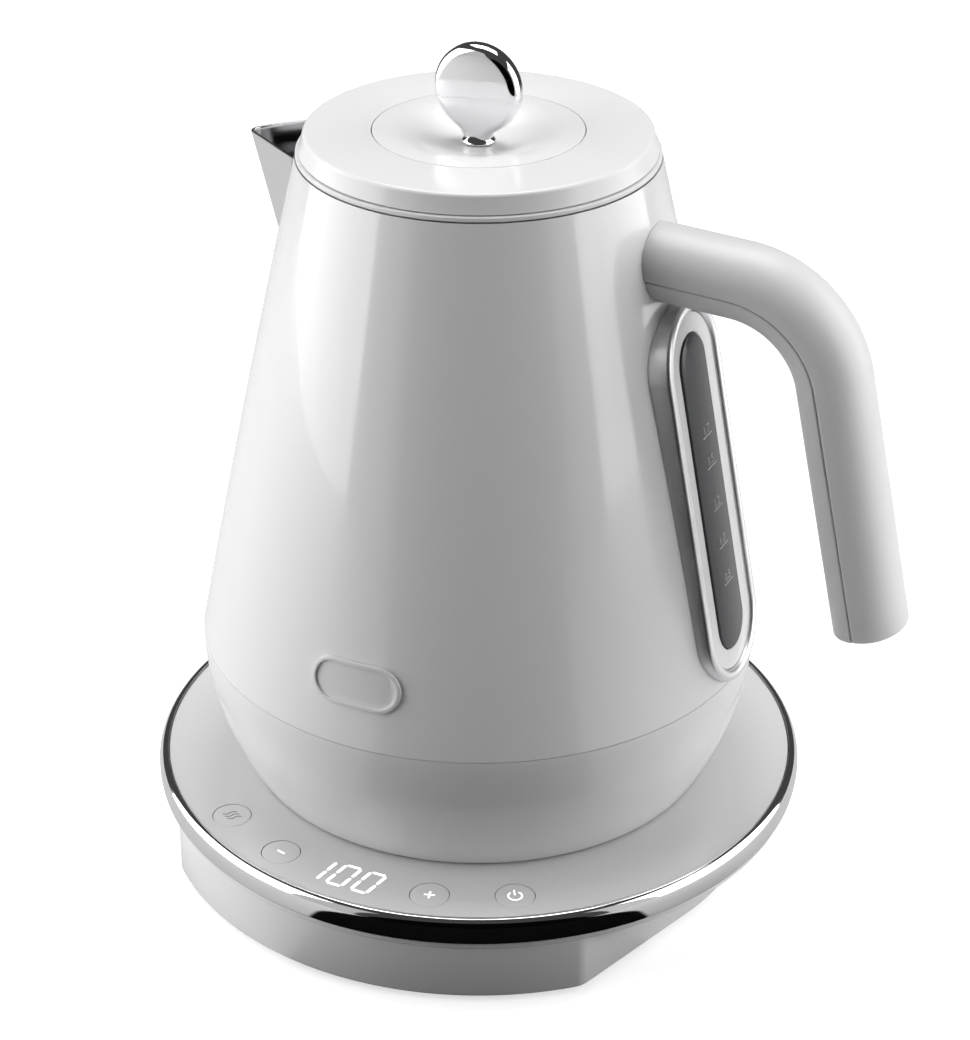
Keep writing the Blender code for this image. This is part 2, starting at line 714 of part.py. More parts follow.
def make_rim_ring(white):
    outer = SLEEVE_R + RIM_SLEEVE_WALL
    top = RIM_Z + GAP + RIM_FLANGE
    low = RIM_Z - RIM_SLEEVE_DEPTH
    profile = [
        (SLEEVE_R, low), (outer, low), (outer, RIM_Z + GAP), (RIM_R - RIM_INSET, RIM_Z + GAP),
        (RIM_R - RIM_INSET, top), (SLEEVE_R, top),
    ]
    add("rim_ring", turned(profile), white)


def make_collar(white):
    top = SEAM_Z - GAP / 2
    shelf_z = SEAM_Z - SKIRT_DEPTH - GAP
    flange_top = COLLAR_FLANGE_Z + COLLAR_FLANGE_THICK
    outside = [(collar_radius(z), z) for z in steps_between(FOOT_EDGE_Z, top, PROFILE_STEPS)]
    inside = [(collar_radius(z) - COLLAR_WALL, z) for z in steps_between(shelf_z, flange_top, 2)]
    bore = FOOT_EDGE_R - COLLAR_WALL
    profile = [
        *outside, (SKIRT_R + GAP, top), (SKIRT_R + GAP, shelf_z), *inside,
        (COLLAR_FLANGE_R, flange_top), (COLLAR_FLANGE_R, COLLAR_FLANGE_Z),
        (bore, COLLAR_FLANGE_Z), (bore, FOOT_EDGE_Z),
    ]
    collar = add("collar", turned(profile), white)
    for i, centre in enumerate(cover_screw_places()):
        boss_top = COLLAR_FLANGE_Z + COVER_BOSS_HEIGHT
        join(collar, add(f"collar boss {i}", pole(BOSS_R, COLLAR_FLANGE_Z + BOSS_OVERLAP, boss_top, centre)))
        hole = pole(SCREW_R + SCREW_CLEAR, 0, boss_top - BOSS_OVERLAP, centre, SCREW_ROUND)
        cut(collar, add(f"collar thread {i}", hole))


def cover_screw_places():
    return [on_circle(COVER_SCREW_CIRCLE_R, angle) for angle in (60, 180, 300)]


def make_foot_cover(white):
    """The plate under the jug, with the ring that stands in the base's recess."""
    edge = FOOT_EDGE_R - COLLAR_WALL - GAP
    top = COVER_Z + COVER_THICK
    hole = SOCKET_OUTER_R + COVER_HOLE_CLEAR
    stand = RECESS_Z + GAP
    inner = COVER_RING_R - COVER_RING_WIDTH
    edge_cut = COVER_RING_CHAMFER
    profile = [
        (hole, COVER_Z), (hole, top), (edge, top), (edge, COVER_Z), (COVER_RING_R, COVER_Z),
        (COVER_RING_R, stand + edge_cut), (COVER_RING_R - edge_cut, stand), (inner + edge_cut, stand),
        (inner, stand + edge_cut), (inner, COVER_Z),
    ]
    cover = add("foot_cover", turned(profile), white)
    for i, centre in enumerate(cover_screw_places()):
        head_top = COVER_Z + SCREW_HEAD_HEIGHT
        cut(
            cover,
            add(f"cover counterbore {i}", pole(SCREW_HEAD_R + GAP, 0, head_top, centre, SCREW_ROUND)),
            add(f"cover hole {i}", pole(SCREW_R + SCREW_CLEAR, 0, PLUNGE, centre, SCREW_ROUND)),
        )


def make_cover_screws(steel):
    for i, centre in enumerate(cover_screw_places()):
        screw(f"cover_screw_{i + 1}", centre, COVER_Z - GAP, COVER_BOSS_HEIGHT, steel)


def make_floor(steel):
    edge = SKIRT_R - BODY_WALL - GAP - FLOOR_SEAL_WIDTH - GAP
    shape = turned([(0, FLOOR_UNDER_Z), (edge, FLOOR_UNDER_Z), (edge, FLOOR_Z), (0, FLOOR_Z)])
    cut(add("element_plate", shape, steel), probe_hole("plate probe hole"))


def make_floor_seal(silicone):
    outer = SKIRT_R - BODY_WALL - GAP
    inner = outer - FLOOR_SEAL_WIDTH
    low = FLOOR_UNDER_Z - (FLOOR_SEAL_HEIGHT - FLOOR_THICK) / 2
    high = low + FLOOR_SEAL_HEIGHT
    add("floor_seal", turned([(outer, low), (outer, high), (inner, high), (inner, low)]), silicone)


def probe_hole(name):
    return add(name, pole(PROBE_R + GAP, 0, FLOOR_Z + PLUNGE, (PROBE_X, 0)))


def make_spreader(aluminium):
    top = SPREADER_Z + SPREADER_THICK
    shape = turned([(0, SPREADER_Z), (SPREADER_R, SPREADER_Z), (SPREADER_R, top), (0, top)], MEDIUM_ROUND)
    cut(add("heat_spreader", shape, aluminium), probe_hole("spreader probe hole"))


def make_element(steel):
    """The heating rod, bent to an open ring under the spreader."""
    z = SPREADER_Z - GAP - ELEMENT_TUBE_R
    gap = 360 - ELEMENT_SWEEP
    loops = []
    for angle in steps_between(180 + gap / 2, 540 - gap / 2, 20):
        a = math.radians(angle)
        out = Vector((math.cos(a), math.sin(a), 0))
        loops.append([
            out * (ELEMENT_R + ELEMENT_TUBE_R * c) + Vector((0, 0, z + ELEMENT_TUBE_R * s))
            for c, s in circle(TURN_STEPS)
        ])
    add("heating_element", skin(loops), steel)


def make_jug_control(black):
    low, high = SOCKET_TOP_Z + 2 * GAP, SPREADER_Z - GAP
    waist, step = CONTROL_R - CONTROL_WAIST, low + CONTROL_STEP
    profile = [
        (0, low), (CONTROL_R, low), (CONTROL_R, step), (waist, step + CONTROL_TAPER),
        (waist, high), (0, high),
    ]
    add("jug_control", turned(profile, MEDIUM_ROUND), black)


def make_probe(steel):
    low, high = SPREADER_Z - PROBE_TAIL, FLOOR_Z + PROBE_RISE
    profile = [(0, low), (PROBE_R, low), (PROBE_R, high - PROBE_TIP), (PROBE_R - PROBE_TIP, high), (0, high)]
    shape = turned(profile, SMALL_ROUND)
    bmesh.ops.translate(shape, verts=shape.verts, vec=(PROBE_X, 0, 0))
    add("temperature_probe", shape, steel)


# ---- spout ----


def spout_solid(inset, stretch=1.0):
    """The spout as a solid wedge: its lip outline drawn down to a point at the foot of the keel."""
    centre = SPOUT_REACH - SPOUT_TIP_ROUND
    run = centre - SPOUT_ROOT_X
    spread = math.hypot(run, SPOUT_HALF_WIDTH)
    half = math.acos(SPOUT_TIP_ROUND / spread) - math.atan2(run, SPOUT_HALF_WIDTH)
    apex_x = body_radius(SPOUT_KEEL_Z) - SPOUT_APEX_IN
    apex_z = SPOUT_KEEL_Z - SPOUT_APEX_DROP
    side = (centre - apex_x) * math.sin(half) + SPOUT_TIP_ROUND
    apex = Vector((-apex_x, 0, apex_z + inset / side * (SPOUT_TIP_Z - apex_z)))
    degrees = math.degrees(half)
    tip = arc((-centre, 0), SPOUT_TIP_ROUND - inset, 90 + degrees, 270 - degrees, TURN_STEPS)
    back = SPOUT_ROOT_X - SPOUT_BURIED
    flank = (tip[0][0] + back) * -math.tan(half)
    outline = [(-back, tip[0][1] + flank), *tip, (-back, tip[-1][1] - flank)]
    rise = (SPOUT_ROOT_Z - SPOUT_TIP_Z) / (SPOUT_REACH - SPOUT_ROOT_X)
    shape = bmesh.new()
    point = shape.verts.new(apex)
    lip = []
    for x, y in outline:
        corner = Vector((x, y, SPOUT_TIP_Z + rise * (x + SPOUT_REACH)))
        lip.append(shape.verts.new(apex + (corner - apex) * stretch))
    for a, b in zip(lip, lip[1:] + lip[:1]):
        shape.faces.new((a, b, point))
    shape.faces.new(lip)
    return shape


def pouring_hole():
    """The opening in the shell behind the spout, kept to the wall on the spout's side."""
    return add("pouring hole", spout_solid(SPOUT_WALL + SPOUT_LEDGE))


def make_spout(polished):
    spout = add("spout", spout_solid(0.0), polished)
    hollow = add("spout hollow", spout_solid(SPOUT_WALL, SPOUT_STRETCH))
    cut(spout, hollow, around_body("body behind spout", GAP))


def make_strainer(steel):
    """A slotted plate that stands behind the pouring hole."""
    width, height, thick = STRAINER_SIZE
    middle = RIM_Z - STRAINER_DROP - height / 2
    inner = body_radius(middle) - BODY_WALL
    sagitta = inner - math.sqrt(inner**2 - (width / 2) ** 2)
    lean = Matrix.Rotation(math.radians(body_slope(middle)), 4, "Y")
    place = Matrix.Translation((-(inner - sagitta - thick - 2 * GAP), 0, middle)) @ lean
    plate = add("strainer", put(block((thick, width, height), (0, 0, 0)), place), steel)
    pitch = (width - STRAINER_SIDE) / STRAINER_SLOTS
    for i in range(STRAINER_SLOTS):
        y = (i - (STRAINER_SLOTS - 1) / 2) * pitch
        slot = block((PLUNGE / 4, STRAINER_SLOT_WIDTH, height - 2 * STRAINER_END), (0, y, 0))
        cut(plate, add(f"strainer slot {i}", put(slot, place)))


# ---- handle ----


def handle_stations(start, end_trim=0.0):
    """(point, outward direction) along the centreline: arm, bend and grip, in the XZ plane."""
    bend = (HANDLE_BEND_X, HANDLE_BEND_Z)
    first = 90 - HANDLE_ARM_SLOPE
    arm_x, arm_z = arc(bend, HANDLE_BEND_R, first, first, 1)[0]
    slope = math.radians(HANDLE_ARM_SLOPE)
    rise = (arm_x - start) * math.tan(slope)
    lean = math.radians(HANDLE_LEAN)
    up, out = Vector((math.sin(slope), 0, math.cos(slope))), Vector((math.cos(lean), 0, math.sin(lean)))
    stations = [(Vector((start, 0, arm_z + rise)), up)]
    for angle in steps_between(first, HANDLE_LEAN, TURN_STEPS):
        a = math.radians(angle)
        direction = Vector((math.cos(a), 0, math.sin(a)))
        stations.append((Vector((bend[0], 0, bend[1])) + direction * HANDLE_BEND_R, direction))
    down = Vector((math.sin(lean), 0, -math.cos(lean)))
    foot = stations[-1][0] + down * (HANDLE_GRIP - end_trim)
    return [*stations, (foot, out)], down


def handle_section(inset, low, high, steps):
    """Half of the grip's section, from low to high along its depth. The finger side is squarer."""
    width, depth = HANDLE_HALF_WIDTH - inset, HANDLE_HALF_DEPTH - inset
    low, high = max(low, -depth), min(high, depth)
    side = []
    for angle in steps_between(math.asin(low / depth), math.asin(high / depth), steps):
        y = depth * math.sin(angle)
        power = HANDLE_BACK_POWER if y > 0 else HANDLE_FINGER_POWER
        side.append((width * max(0.0, 1 - abs(y / depth) ** power) ** (1 / power), y))
    return side


def handle_loop(section, point, out):
    half = [(x, y) for x, y in section if x > 1e-6]
    tips = [[(x, y) for x, y in section[end:][:1] if x <= 1e-6] for end in (0, -1)]
    outline = tips[0] + half + tips[1] + [(-x, y) for x, y in reversed(half)]
    return [point + out * y + Vector((0, x, 0)) for x, y in outline]


def handle_sweep(low, high, steps):
    stations, down = handle_stations(start=body_radius(RIM_Z) - HANDLE_BURIED)
    section = handle_section(0, low, high, steps)
    loops = [handle_loop(section, point, out) for point, out in stations[:-1]]
    end, out = stations[-1]
    for share in (0.0, 0.5, 1.0):
        a = share * math.pi / 2
        inset = HANDLE_END_ROUND * (1 - math.cos(a))
        back = HANDLE_END_ROUND * (1 - math.sin(a))
        loops.append(handle_loop(handle_section(inset, low, high, steps), end - down * back, out))
    return skin(loops)


def make_handle_shell(satin):
    shell = add("handle_shell", handle_sweep(-HANDLE_SPLIT, HANDLE_HALF_DEPTH, 8), satin)
    stations, _ = handle_stations(start=body_radius(RIM_Z) - HANDLE_BURIED - HANDLE_WALL, end_trim=HANDLE_END_CAP)
    width, depth = HANDLE_HALF_WIDTH - HANDLE_WALL, HANDLE_HALF_DEPTH - HANDLE_WALL
    roof = arc((0, 0), 1, 0, 90, 4)
    half = [(width, -HANDLE_HALF_DEPTH)] + [(width * x, depth * y) for x, y in roof[:-1]]
    outline = half + [(0, depth)] + [(-x, y) for x, y in reversed(half)]
    loops = [[point + out * y + Vector((0, x, 0)) for x, y in outline] for point, out in stations]
    cut(shell, add("handle channel", skin(loops)), around_body("body behind handle", GAP))


def make_handle_insert(satin):
    insert = add("handle_insert", handle_sweep(-HANDLE_HALF_DEPTH, -HANDLE_SPLIT - GAP, 4), satin)
    x, under = handle_screw_place()
    seat = under + HANDLE_SCREW_SUNK + SCREW_HEAD_HEIGHT + GAP
    cut(
        insert,
        around_body("body behind insert", GAP),
        add("insert counterbore", pole(SCREW_HEAD_R + GAP, under - PLUNGE, seat, (x, 0), SCREW_ROUND)),
        add("insert hole", pole(SCREW_R + SCREW_CLEAR, under, under + PLUNGE, (x, 0), SCREW_ROUND)),
    )


def handle_screw_place():
    """The screw's distance from the axis, and the height of the arm's underside there."""
    x = RIM_R + HANDLE_SCREW_OUT
    return x, handle_arm_z(x) - HANDLE_HALF_DEPTH


def handle_arm_z(x):
    first = math.radians(90 - HANDLE_ARM_SLOPE)
    start_x = HANDLE_BEND_X + HANDLE_BEND_R * math.cos(first)
    start_z = HANDLE_BEND_Z + HANDLE_BEND_R * math.sin(first)
    return start_z + (start_x - x) * math.tan(math.radians(HANDLE_ARM_SLOPE))


def make_bracket(steel):
    """A plate against the shell with a tongue that runs out into the arm."""
    root = RIM_R
    z = handle_arm_z(root)
    depth = body_radius(z) + BRACKET_DEPTH - root
    plate_z = z + BRACKET_PLATE / 2 - BRACKET_DROP
    plate = block((depth, BRACKET_WIDTH, BRACKET_PLATE), (root + depth / 2, 0, plate_z))
    bracket = add("handle_bracket", plate, steel)
    length = depth + BRACKET_REACH
    bar = block((length, BRACKET_TONGUE, BRACKET_THICK), (root + length / 2, 0, z + BRACKET_THICK / 4))
    tongue = add("bracket tongue", bar)
    x, _ = handle_screw_place()
    hole = add("bracket hole", pole(SCREW_R + SCREW_CLEAR, z - PLUNGE, z + PLUNGE, (x, 0), SCREW_ROUND))
    join(bracket, tongue)
    cut(bracket, around_body("body behind bracket", GAP), hole)


def make_handle_screw(steel):
    x, under = handle_screw_place()
    screw("handle_screw", (x, 0), under + HANDLE_SCREW_SUNK, HANDLE_HALF_DEPTH + HANDLE_SCREW_BITE, steel)


# ---- water window ----


def window_place():
    """Local X runs sideways, local Y up the window, local Z out of it. The lens's face is at Z = 0."""
    tilt = math.radians(WINDOW_TILT)
    centre = Vector((body_radius(WINDOW_Z) + WINDOW_PROUD, 0, WINDOW_Z))
    axes = Matrix(((0, -math.sin(tilt), math.cos(tilt)), (1, 0, 0), (0, math.cos(tilt), math.sin(tilt))))
    return Matrix.Translation(centre) @ axes.to_4x4()


def window_outline(half_width):
    return stadium(half_width, WINDOW_HALF_LENGTH + half_width - LENS_HALF_WIDTH)


def window_prism(name, half_width, high, low, material=None):
    return add(name, put(prism(window_outline(half_width), low, high), window_place()), material)


def window_tube(name, outer, inner, high, low, material):
    shape = tube(window_outline(outer), window_outline(inner), low, high)
    return add(name, put(shape, window_place()), material)


def make_lens(smoked):
    shape = put(prism(window_outline(LENS_HALF_WIDTH), -LENS_DEPTH, 0), window_place())
    add("window_lens", shape, smoked)


def make_gasket(silicone):
    """A seal round the lens, in the shell's hole and behind the frame."""
    inner = LENS_HALF_WIDTH + GAP
    outer = inner + GASKET_WIDTH
    window_tube("window_gasket", outer, inner, -WINDOW_PROUD - GAP, -LENS_DEPTH, silicone)


def make_window_frame(white):
    inner = LENS_HALF_WIDTH + GAP
    frame = window_tube("window_frame", inner + FRAME_WIDTH, inner, -FRAME_SUNK, -PLUNGE / 3, white)
    keep_off_gasket = window_prism("gasket room", inner + GASKET_WIDTH + GAP, -WINDOW_PROUD, -PLUNGE)
    cut(frame, around_body("body behind frame", GAP), keep_off_gasket)


def make_bezel(chrome):
    inner = LENS_HALF_WIDTH + GAP + FRAME_WIDTH + GAP
    bezel = window_tube("window_bezel", inner + BEZEL_WIDTH, inner, BEZEL_PROUD, -PLUNGE / 3, chrome)
    cut(bezel, around_body("body behind bezel", GAP))


# ---- badge ----


def make_badge(white):
    """A blank pill that follows the side of the body."""
    slope = math.radians(body_slope(BADGE_Z))
    axes = Matrix(((1, 0, 0), (0, math.sin(slope), -math.cos(slope)), (0, math.cos(slope), math.sin(slope))))
    place = Matrix.Translation((0, -body_radius(BADGE_Z), BADGE_Z)) @ axes.to_4x4()
    upright = [(y, x) for x, y in stadium(BADGE_HALF_HEIGHT, BADGE_HALF_WIDTH)]
    badge = add("badge", put(prism(upright, -PLUNGE / 4, PLUNGE / 4), place), white)
    combine(badge, "INTERSECT", around_body("badge face", GAP + BADGE_THICK))
    cut(badge, around_body("body behind badge", GAP))


# ---- lid ----


def make_lid_cover(white):
    shoulder = (LID_SHOULDER_R - LID_SHOULDER_ROUND, LID_TOP_Z - LID_SHOULDER_ROUND)
    bore = LID_DISC_R + GAP
    profile = [
        (LID_EDGE_R, LID_EDGE_Z), *arc(shoulder, LID_SHOULDER_ROUND, 0, 90, 3), (bore, LID_TOP_Z),
        (bore, LID_UNDER_Z), (LID_SHOULDER_R - LID_WALL, LID_UNDER_Z), (LID_EDGE_R - LID_WALL, LID_EDGE_Z),
    ]
    add("lid_cover", turned(profile), white)


def make_lid_disc(white):
    """The middle of the lid, dished round the knob."""
    hole = SCREW_R + SCREW_CLEAR
    dish = []
    for t in steps_between(0, 1, 4):
        drop = DIMPLE_DEPTH * (1 - math.cos(math.pi * t)) / 2
        dish.append((DIMPLE_R + (DIMPLE_FLOOR_R - DIMPLE_R) * t, LID_TOP_Z - drop))
    under = [(r, z - LID_WALL) for r, z in reversed(dish)]
    profile = [
        (LID_DISC_R, LID_UNDER_Z), (LID_DISC_R, LID_TOP_Z), *dish,
        (hole, DIMPLE_Z), (hole, DIMPLE_Z - LID_WALL), *under,
    ]
    add("lid_disc", turned(profile, 32), white)


def make_lid_plug(grey):
    """A cup that hangs into the mouth, with a boss that takes the knob's screw."""
    floor = PLUG_Z + PLUG_WALL
    boss_top = DIMPLE_Z - LID_WALL - GAP
    brim = LID_UNDER_Z - GAP
    hole = SCREW_R + SCREW_CLEAR
    well = SCREW_HEAD_R + GAP
    well_top = PLUG_Z + KNOB_SCREW_SUNK + SCREW_HEAD_HEIGHT + GAP
    inner = PLUG_R - PLUG_WALL
    profile = [
        (well, PLUG_Z), (PLUG_R - PLUG_EDGE, PLUG_Z), (PLUG_R, PLUG_Z + PLUG_EDGE), (PLUG_R, brim),
        (inner, brim), (inner, floor), (well + PLUG_WALL, floor), (well + PLUG_WALL, boss_top),
        (hole, boss_top), (hole, well_top), (well, well_top),
    ]
    add("lid_plug", turned(profile), grey)


def make_lid_seal(silicone):
    inner = PLUG_R + GAP
    outer = inner + SEAL_WIDTH
    low = PLUG_Z + SEAL_LIFT
    high = low + SEAL_HEIGHT
    add("lid_seal", turned([(outer, low), (outer, high), (inner, high), (inner, low)]), silicone)


def make_knob(chrome):
    """A round paddle that faces -Y, on a short neck."""
    edge = KNOB_R - KNOB_HALF_THICK
    rim = arc((edge, 0), KNOB_HALF_THICK, -60, 60, 6)
    face = KNOB_HALF_THICK - KNOB_FACE_SUNK
    profile = [(0, -face), (KNOB_FACE_R, -face), *rim, (KNOB_FACE_R, face), (0, face)]
    paddle = put(turned(profile, MEDIUM_ROUND), Matrix.Rotation(math.radians(90), 4, "X"))
    bmesh.ops.translate(paddle, verts=paddle.verts, vec=(0, 0, KNOB_Z))
    knob = add("knob", paddle, chrome)
    foot = DIMPLE_Z + GAP
    neck_top = KNOB_Z - KNOB_R + KNOB_NECK_BITE
    neck_profile = [
        (0, foot), (KNOB_FOOT_R, foot), (KNOB_FOOT_R, foot + KNOB_FOOT_EDGE),
        (KNOB_NECK_R, foot + KNOB_FOOT_HEIGHT), (KNOB_NECK_R, neck_top), (0, neck_top),
    ]
    join(knob, add("knob neck", turned(neck_profile, SMALL_ROUND)))
    cut(knob, add("knob thread", pole(SCREW_R + SCREW_CLEAR, 0, foot + KNOB_THREAD, segments=SCREW_ROUND)))


def make_knob_screw(steel):
    head = PLUG_Z + KNOB_SCREW_SUNK
    length = DIMPLE_Z + KNOB_SCREW_BITE - head - SCREW_HEAD_HEIGHT
    screw("knob_screw", (0, 0), head, length, steel)


def main():
    clear_scene()
    paint = finish("white enamel paint", (0.86, 0.86, 0.87), 0.18)
    white = finish("white gloss plastic", (0.84, 0.84, 0.85), 0.25)
    satin = finish("white satin plastic", (0.85, 0.85, 0.86), 0.4)
    chrome = finish("chrome plating", (0.8, 0.8, 0.82), 0.06, metallic=1.0)
    polished = finish("polished steel", (0.66, 0.66, 0.68), 0.14, metallic=1.0)
    steel = finish("stainless steel", (0.55, 0.55, 0.57), 0.3, metallic=1.0)
    aluminium = finish("cast aluminium", (0.7, 0.7, 0.72), 0.45, metallic=1.0)
    brass = finish("brass", (0.78, 0.6, 0.27), 0.25, metallic=1.0)
    smoked = finish("smoked clear plastic", (0.12, 0.13, 0.14), 0.08, transmission=0.6)
    silicone = finish("grey silicone", (0.45, 0.45, 0.46), 0.6)
    rubber = finish("black rubber", (0.03, 0.03, 0.03), 0.7)
    black = finish("black plastic", (0.04, 0.04, 0.045), 0.4)
    green = finish("circuit board", (0.03, 0.16, 0.07), 0.45)

    make_base_housing(white)
    make_bottom_plate(white)
    make_base_screws(steel)
    make_feet(rubber)
    make_base_ring(chrome)
    make_deck(white)
    make_buttons(white)
    make_switches(black)
    make_control_board(green)
    make_display(black)
    make_base_connector(black)
    make_power_board(green)
    make_relay(black)
    make_gland(rubber)

    make_jug_connector(black)
    make_contacts(brass)

    make_body_shell(paint)
    make_rim_ring(white)
    make_collar(white)
    make_foot_cover(white)
    make_cover_screws(steel)
    make_floor(steel)
    make_floor_seal(silicone)
    make_spreader(aluminium)
    make_element(steel)
    make_jug_control(black)
    make_probe(steel)
    make_spout(polished)
    make_strainer(steel)
    make_handle_shell(satin)
    make_handle_insert(satin)
    make_bracket(steel)
    make_handle_screw(steel)
    make_lens(smoked)
    make_gasket(silicone)
    make_window_frame(white)
    make_bezel(chrome)
    make_badge(white)

    make_lid_cover(white)
    make_lid_disc(white)
    make_lid_plug(grey=white)
    make_lid_seal(silicone)
    make_knob(chrome)
    make_knob_screw(steel)


main()
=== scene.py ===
"""Jug kettle on its power base: the looks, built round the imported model.

Sizes in the sections are in millimetres and become metres when a piece is made. The kettle's axis is Z,
the table is Z = 0, the handle points to +X, the spout to -X and the controls on the base to -Y.
"""

import math

import bmesh
import bpy
from mathutils import Matrix, Vector


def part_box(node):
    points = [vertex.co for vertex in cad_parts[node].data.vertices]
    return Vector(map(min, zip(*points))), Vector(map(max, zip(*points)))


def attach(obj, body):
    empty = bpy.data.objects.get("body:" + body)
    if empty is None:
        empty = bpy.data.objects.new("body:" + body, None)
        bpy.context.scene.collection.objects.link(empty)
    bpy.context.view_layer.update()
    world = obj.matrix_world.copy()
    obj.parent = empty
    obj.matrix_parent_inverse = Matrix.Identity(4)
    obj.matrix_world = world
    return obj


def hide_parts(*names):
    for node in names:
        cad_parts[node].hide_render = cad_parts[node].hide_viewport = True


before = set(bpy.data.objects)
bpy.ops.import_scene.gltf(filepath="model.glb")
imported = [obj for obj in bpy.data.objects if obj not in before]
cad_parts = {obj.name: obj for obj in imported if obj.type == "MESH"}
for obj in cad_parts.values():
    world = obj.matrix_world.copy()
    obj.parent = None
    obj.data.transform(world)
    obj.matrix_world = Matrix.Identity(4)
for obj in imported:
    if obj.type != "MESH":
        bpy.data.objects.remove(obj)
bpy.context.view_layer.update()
scene = bpy.context.scene
MM = 0.001


# ---- camera: a long lens a little above the lid, turned towards the handle ----

lens = bpy.data.cameras.new("studio camera")
lens.sensor_width = 36.0
lens.lens = 96.44
lens.shift_x = 0.006
lens.clip_start = 0.01
camera = bpy.data.objects.new("studio_camera", lens)
camera.location = (0.3343, -0.6977, 0.5331)
camera.rotation_euler = (math.radians(61.31), 0.0, math.radians(25.6))
scene.collection.objects.link(camera)
scene.camera = camera
scene.view_settings.view_transform = "Standard"
scene.view_settings.look = "None"


# ---- floor: a pale seamless sweep ----
# White laminate, so bright that it reads as paper white, with only a soft shadow under the base. What mirrors
# in the steel is a darker floor with a painted dark reflection: a near black patch in front, where no card
# stands.

FLOOR_HALF = 6.0
FRONT = (0.432, -0.902, 0.0)  # from the kettle towards where it is looked at
DARK_EDGE = 0.81  # cosine of half the angle that the painted dark reflection patch covers
FLOOR_SHADE, PAINTED_DARK_REFLECTION = 0.65, 0.004
FLOOR_DROP = -0.0002


def new_material(name):
    """A new material, its node tree and its Principled shader."""
    material = bpy.data.materials.new(name)
    material.use_nodes = True
    tree = material.node_tree
    return material, tree, tree.nodes["Principled BSDF"]


def node(tree, kind, **settings):
    """A node by its type. Settings name its properties, or its sockets with underscores for spaces."""
    made = tree.nodes.new(kind)
    for key, value in settings.items():
        socket = key.replace("_", " ")
        if hasattr(made, key):
            setattr(made, key, value)
        elif isinstance(value, bpy.types.NodeSocket):
            tree.links.new(value, made.inputs[socket])
        else:
            made.inputs[socket].default_value = value
    return made


sweep, tree, shader = new_material("white_sweep")
shader.inputs["Base Color"].default_value = (0.72, 0.72, 0.72, 1.0)
shader.inputs["Roughness"].default_value = 0.55
glow = node(tree, "ShaderNodeEmission", Color=(1.0, 1.0, 1.0, 1.0), Strength=0.62)
both = node(tree, "ShaderNodeAddShader")
tree.links.new(shader.outputs[0], both.inputs[0])
tree.links.new(glow.outputs[0], both.inputs[1])
where = node(tree, "ShaderNodeTexCoord")
bearing = node(tree, "ShaderNodeVectorMath", operation="NORMALIZE")
tree.links.new(where.outputs["Object"], bearing.inputs[0])
lined_up = node(tree, "ShaderNodeVectorMath", operation="DOT_PRODUCT")
lined_up.inputs[1].default_value = FRONT
tree.links.new(bearing.outputs["Vector"], lined_up.inputs[0])
# Painted dark reflection: every ray but the camera's finds the floor near black in a wedge in front of the
# kettle, so the chrome and paint mirror a dark patch that nothing in the scene casts.
shade = node(
    tree, "ShaderNodeMapRange", From_Min=DARK_EDGE, From_Max=DARK_EDGE + 0.01,
    To_Min=FLOOR_SHADE, To_Max=PAINTED_DARK_REFLECTION,
)
tree.links.new(lined_up.outputs["Value"], shade.inputs["Value"])
unseen = node(tree, "ShaderNodeBsdfDiffuse")
tree.links.new(shade.outputs["Result"], unseen.inputs["Color"])
seen = node(tree, "ShaderNodeLightPath")
pick = node(tree, "ShaderNodeMixShader")
tree.links.new(seen.outputs["Is Camera Ray"], pick.inputs[0])
tree.links.new(unseen.outputs[0], pick.inputs[1])
tree.links.new(both.outputs[0], pick.inputs[2])
tree.links.new(pick.outputs[0], tree.nodes["Material Output"].inputs["Surface"])

shape = bmesh.new()
bmesh.ops.create_grid(shape, x_segments=1, y_segments=1, size=FLOOR_HALF)
bmesh.ops.translate(shape, verts=shape.verts, vec=(0, 0, FLOOR_DROP))
mesh = bpy.data.meshes.new("floor")
shape.to_mesh(mesh)
shape.free()
mesh.materials.append(sweep)
floor = bpy.data.objects.new("floor", mesh)
scene.collection.objects.link(floor)


# ---- studio light: a tall softbox on each side and one overhead, the front left dark ----

VIEW_YAW = math.radians(25.6)
AIM = Vector((0.0, 0.0, 0.13))
ROOM_LIGHT, ROOM_DARK = 0.06, 0.002


def softbox(name, degrees, distance, height, size, power):
    """A panel aimed at the kettle. Its bearing is taken from the camera's, positive to the right."""
    yaw = VIEW_YAW + math.radians(degrees)
    panel = bpy.data.lights.new(name, "AREA")
    panel.shape = "RECTANGLE"
    panel.size, panel.size_y = size
    panel.energy = power
    light = bpy.data.objects.new(name, panel)
    light.location = AIM + Vector((math.sin(yaw) * distance, -math.cos(yaw) * distance, height))
    light.rotation_euler = (AIM - light.location).to_track_quat("-Z", "Y").to_euler()
    scene.collection.objects.link(light)
    return light


softbox("softbox_left", -90, 0.95, 0.2, (1.15, 1.3), 14.0)
softbox("softbox_right", 86, 0.95, 0.2, (1.1, 1.3), 11.5)
softbox("wing_left", -52, 1.2, 0.25, (0.6, 1.3), 1.2)
softbox("wing_right", 54, 1.2, 0.25, (0.6, 1.3), 1.4)
softbox("softbox_top", 175, 0.4, 1.1, (0.9, 0.8), 10.0)

surroundings = bpy.data.worlds.new("dim_studio")
surroundings.use_nodes = True
tree = surroundings.node_tree
around = node(tree, "ShaderNodeTexCoord")
ahead = node(tree, "ShaderNodeVectorMath", operation="DOT_PRODUCT")
ahead.inputs[1].default_value = FRONT
tree.links.new(around.outputs["Generated"], ahead.inputs[0])
level = node(
    tree, "ShaderNodeMapRange", From_Min=DARK_EDGE, From_Max=DARK_EDGE + 0.01,
    To_Min=ROOM_LIGHT, To_Max=ROOM_DARK,
)
tree.links.new(ahead.outputs["Value"], level.inputs["Value"])
tree.links.new(level.outputs["Result"], tree.nodes["Background"].inputs["Strength"])
tree.nodes["Background"].inputs["Color"].default_value = (1.0, 1.0, 1.0, 1.0)
scene.world = surroundings


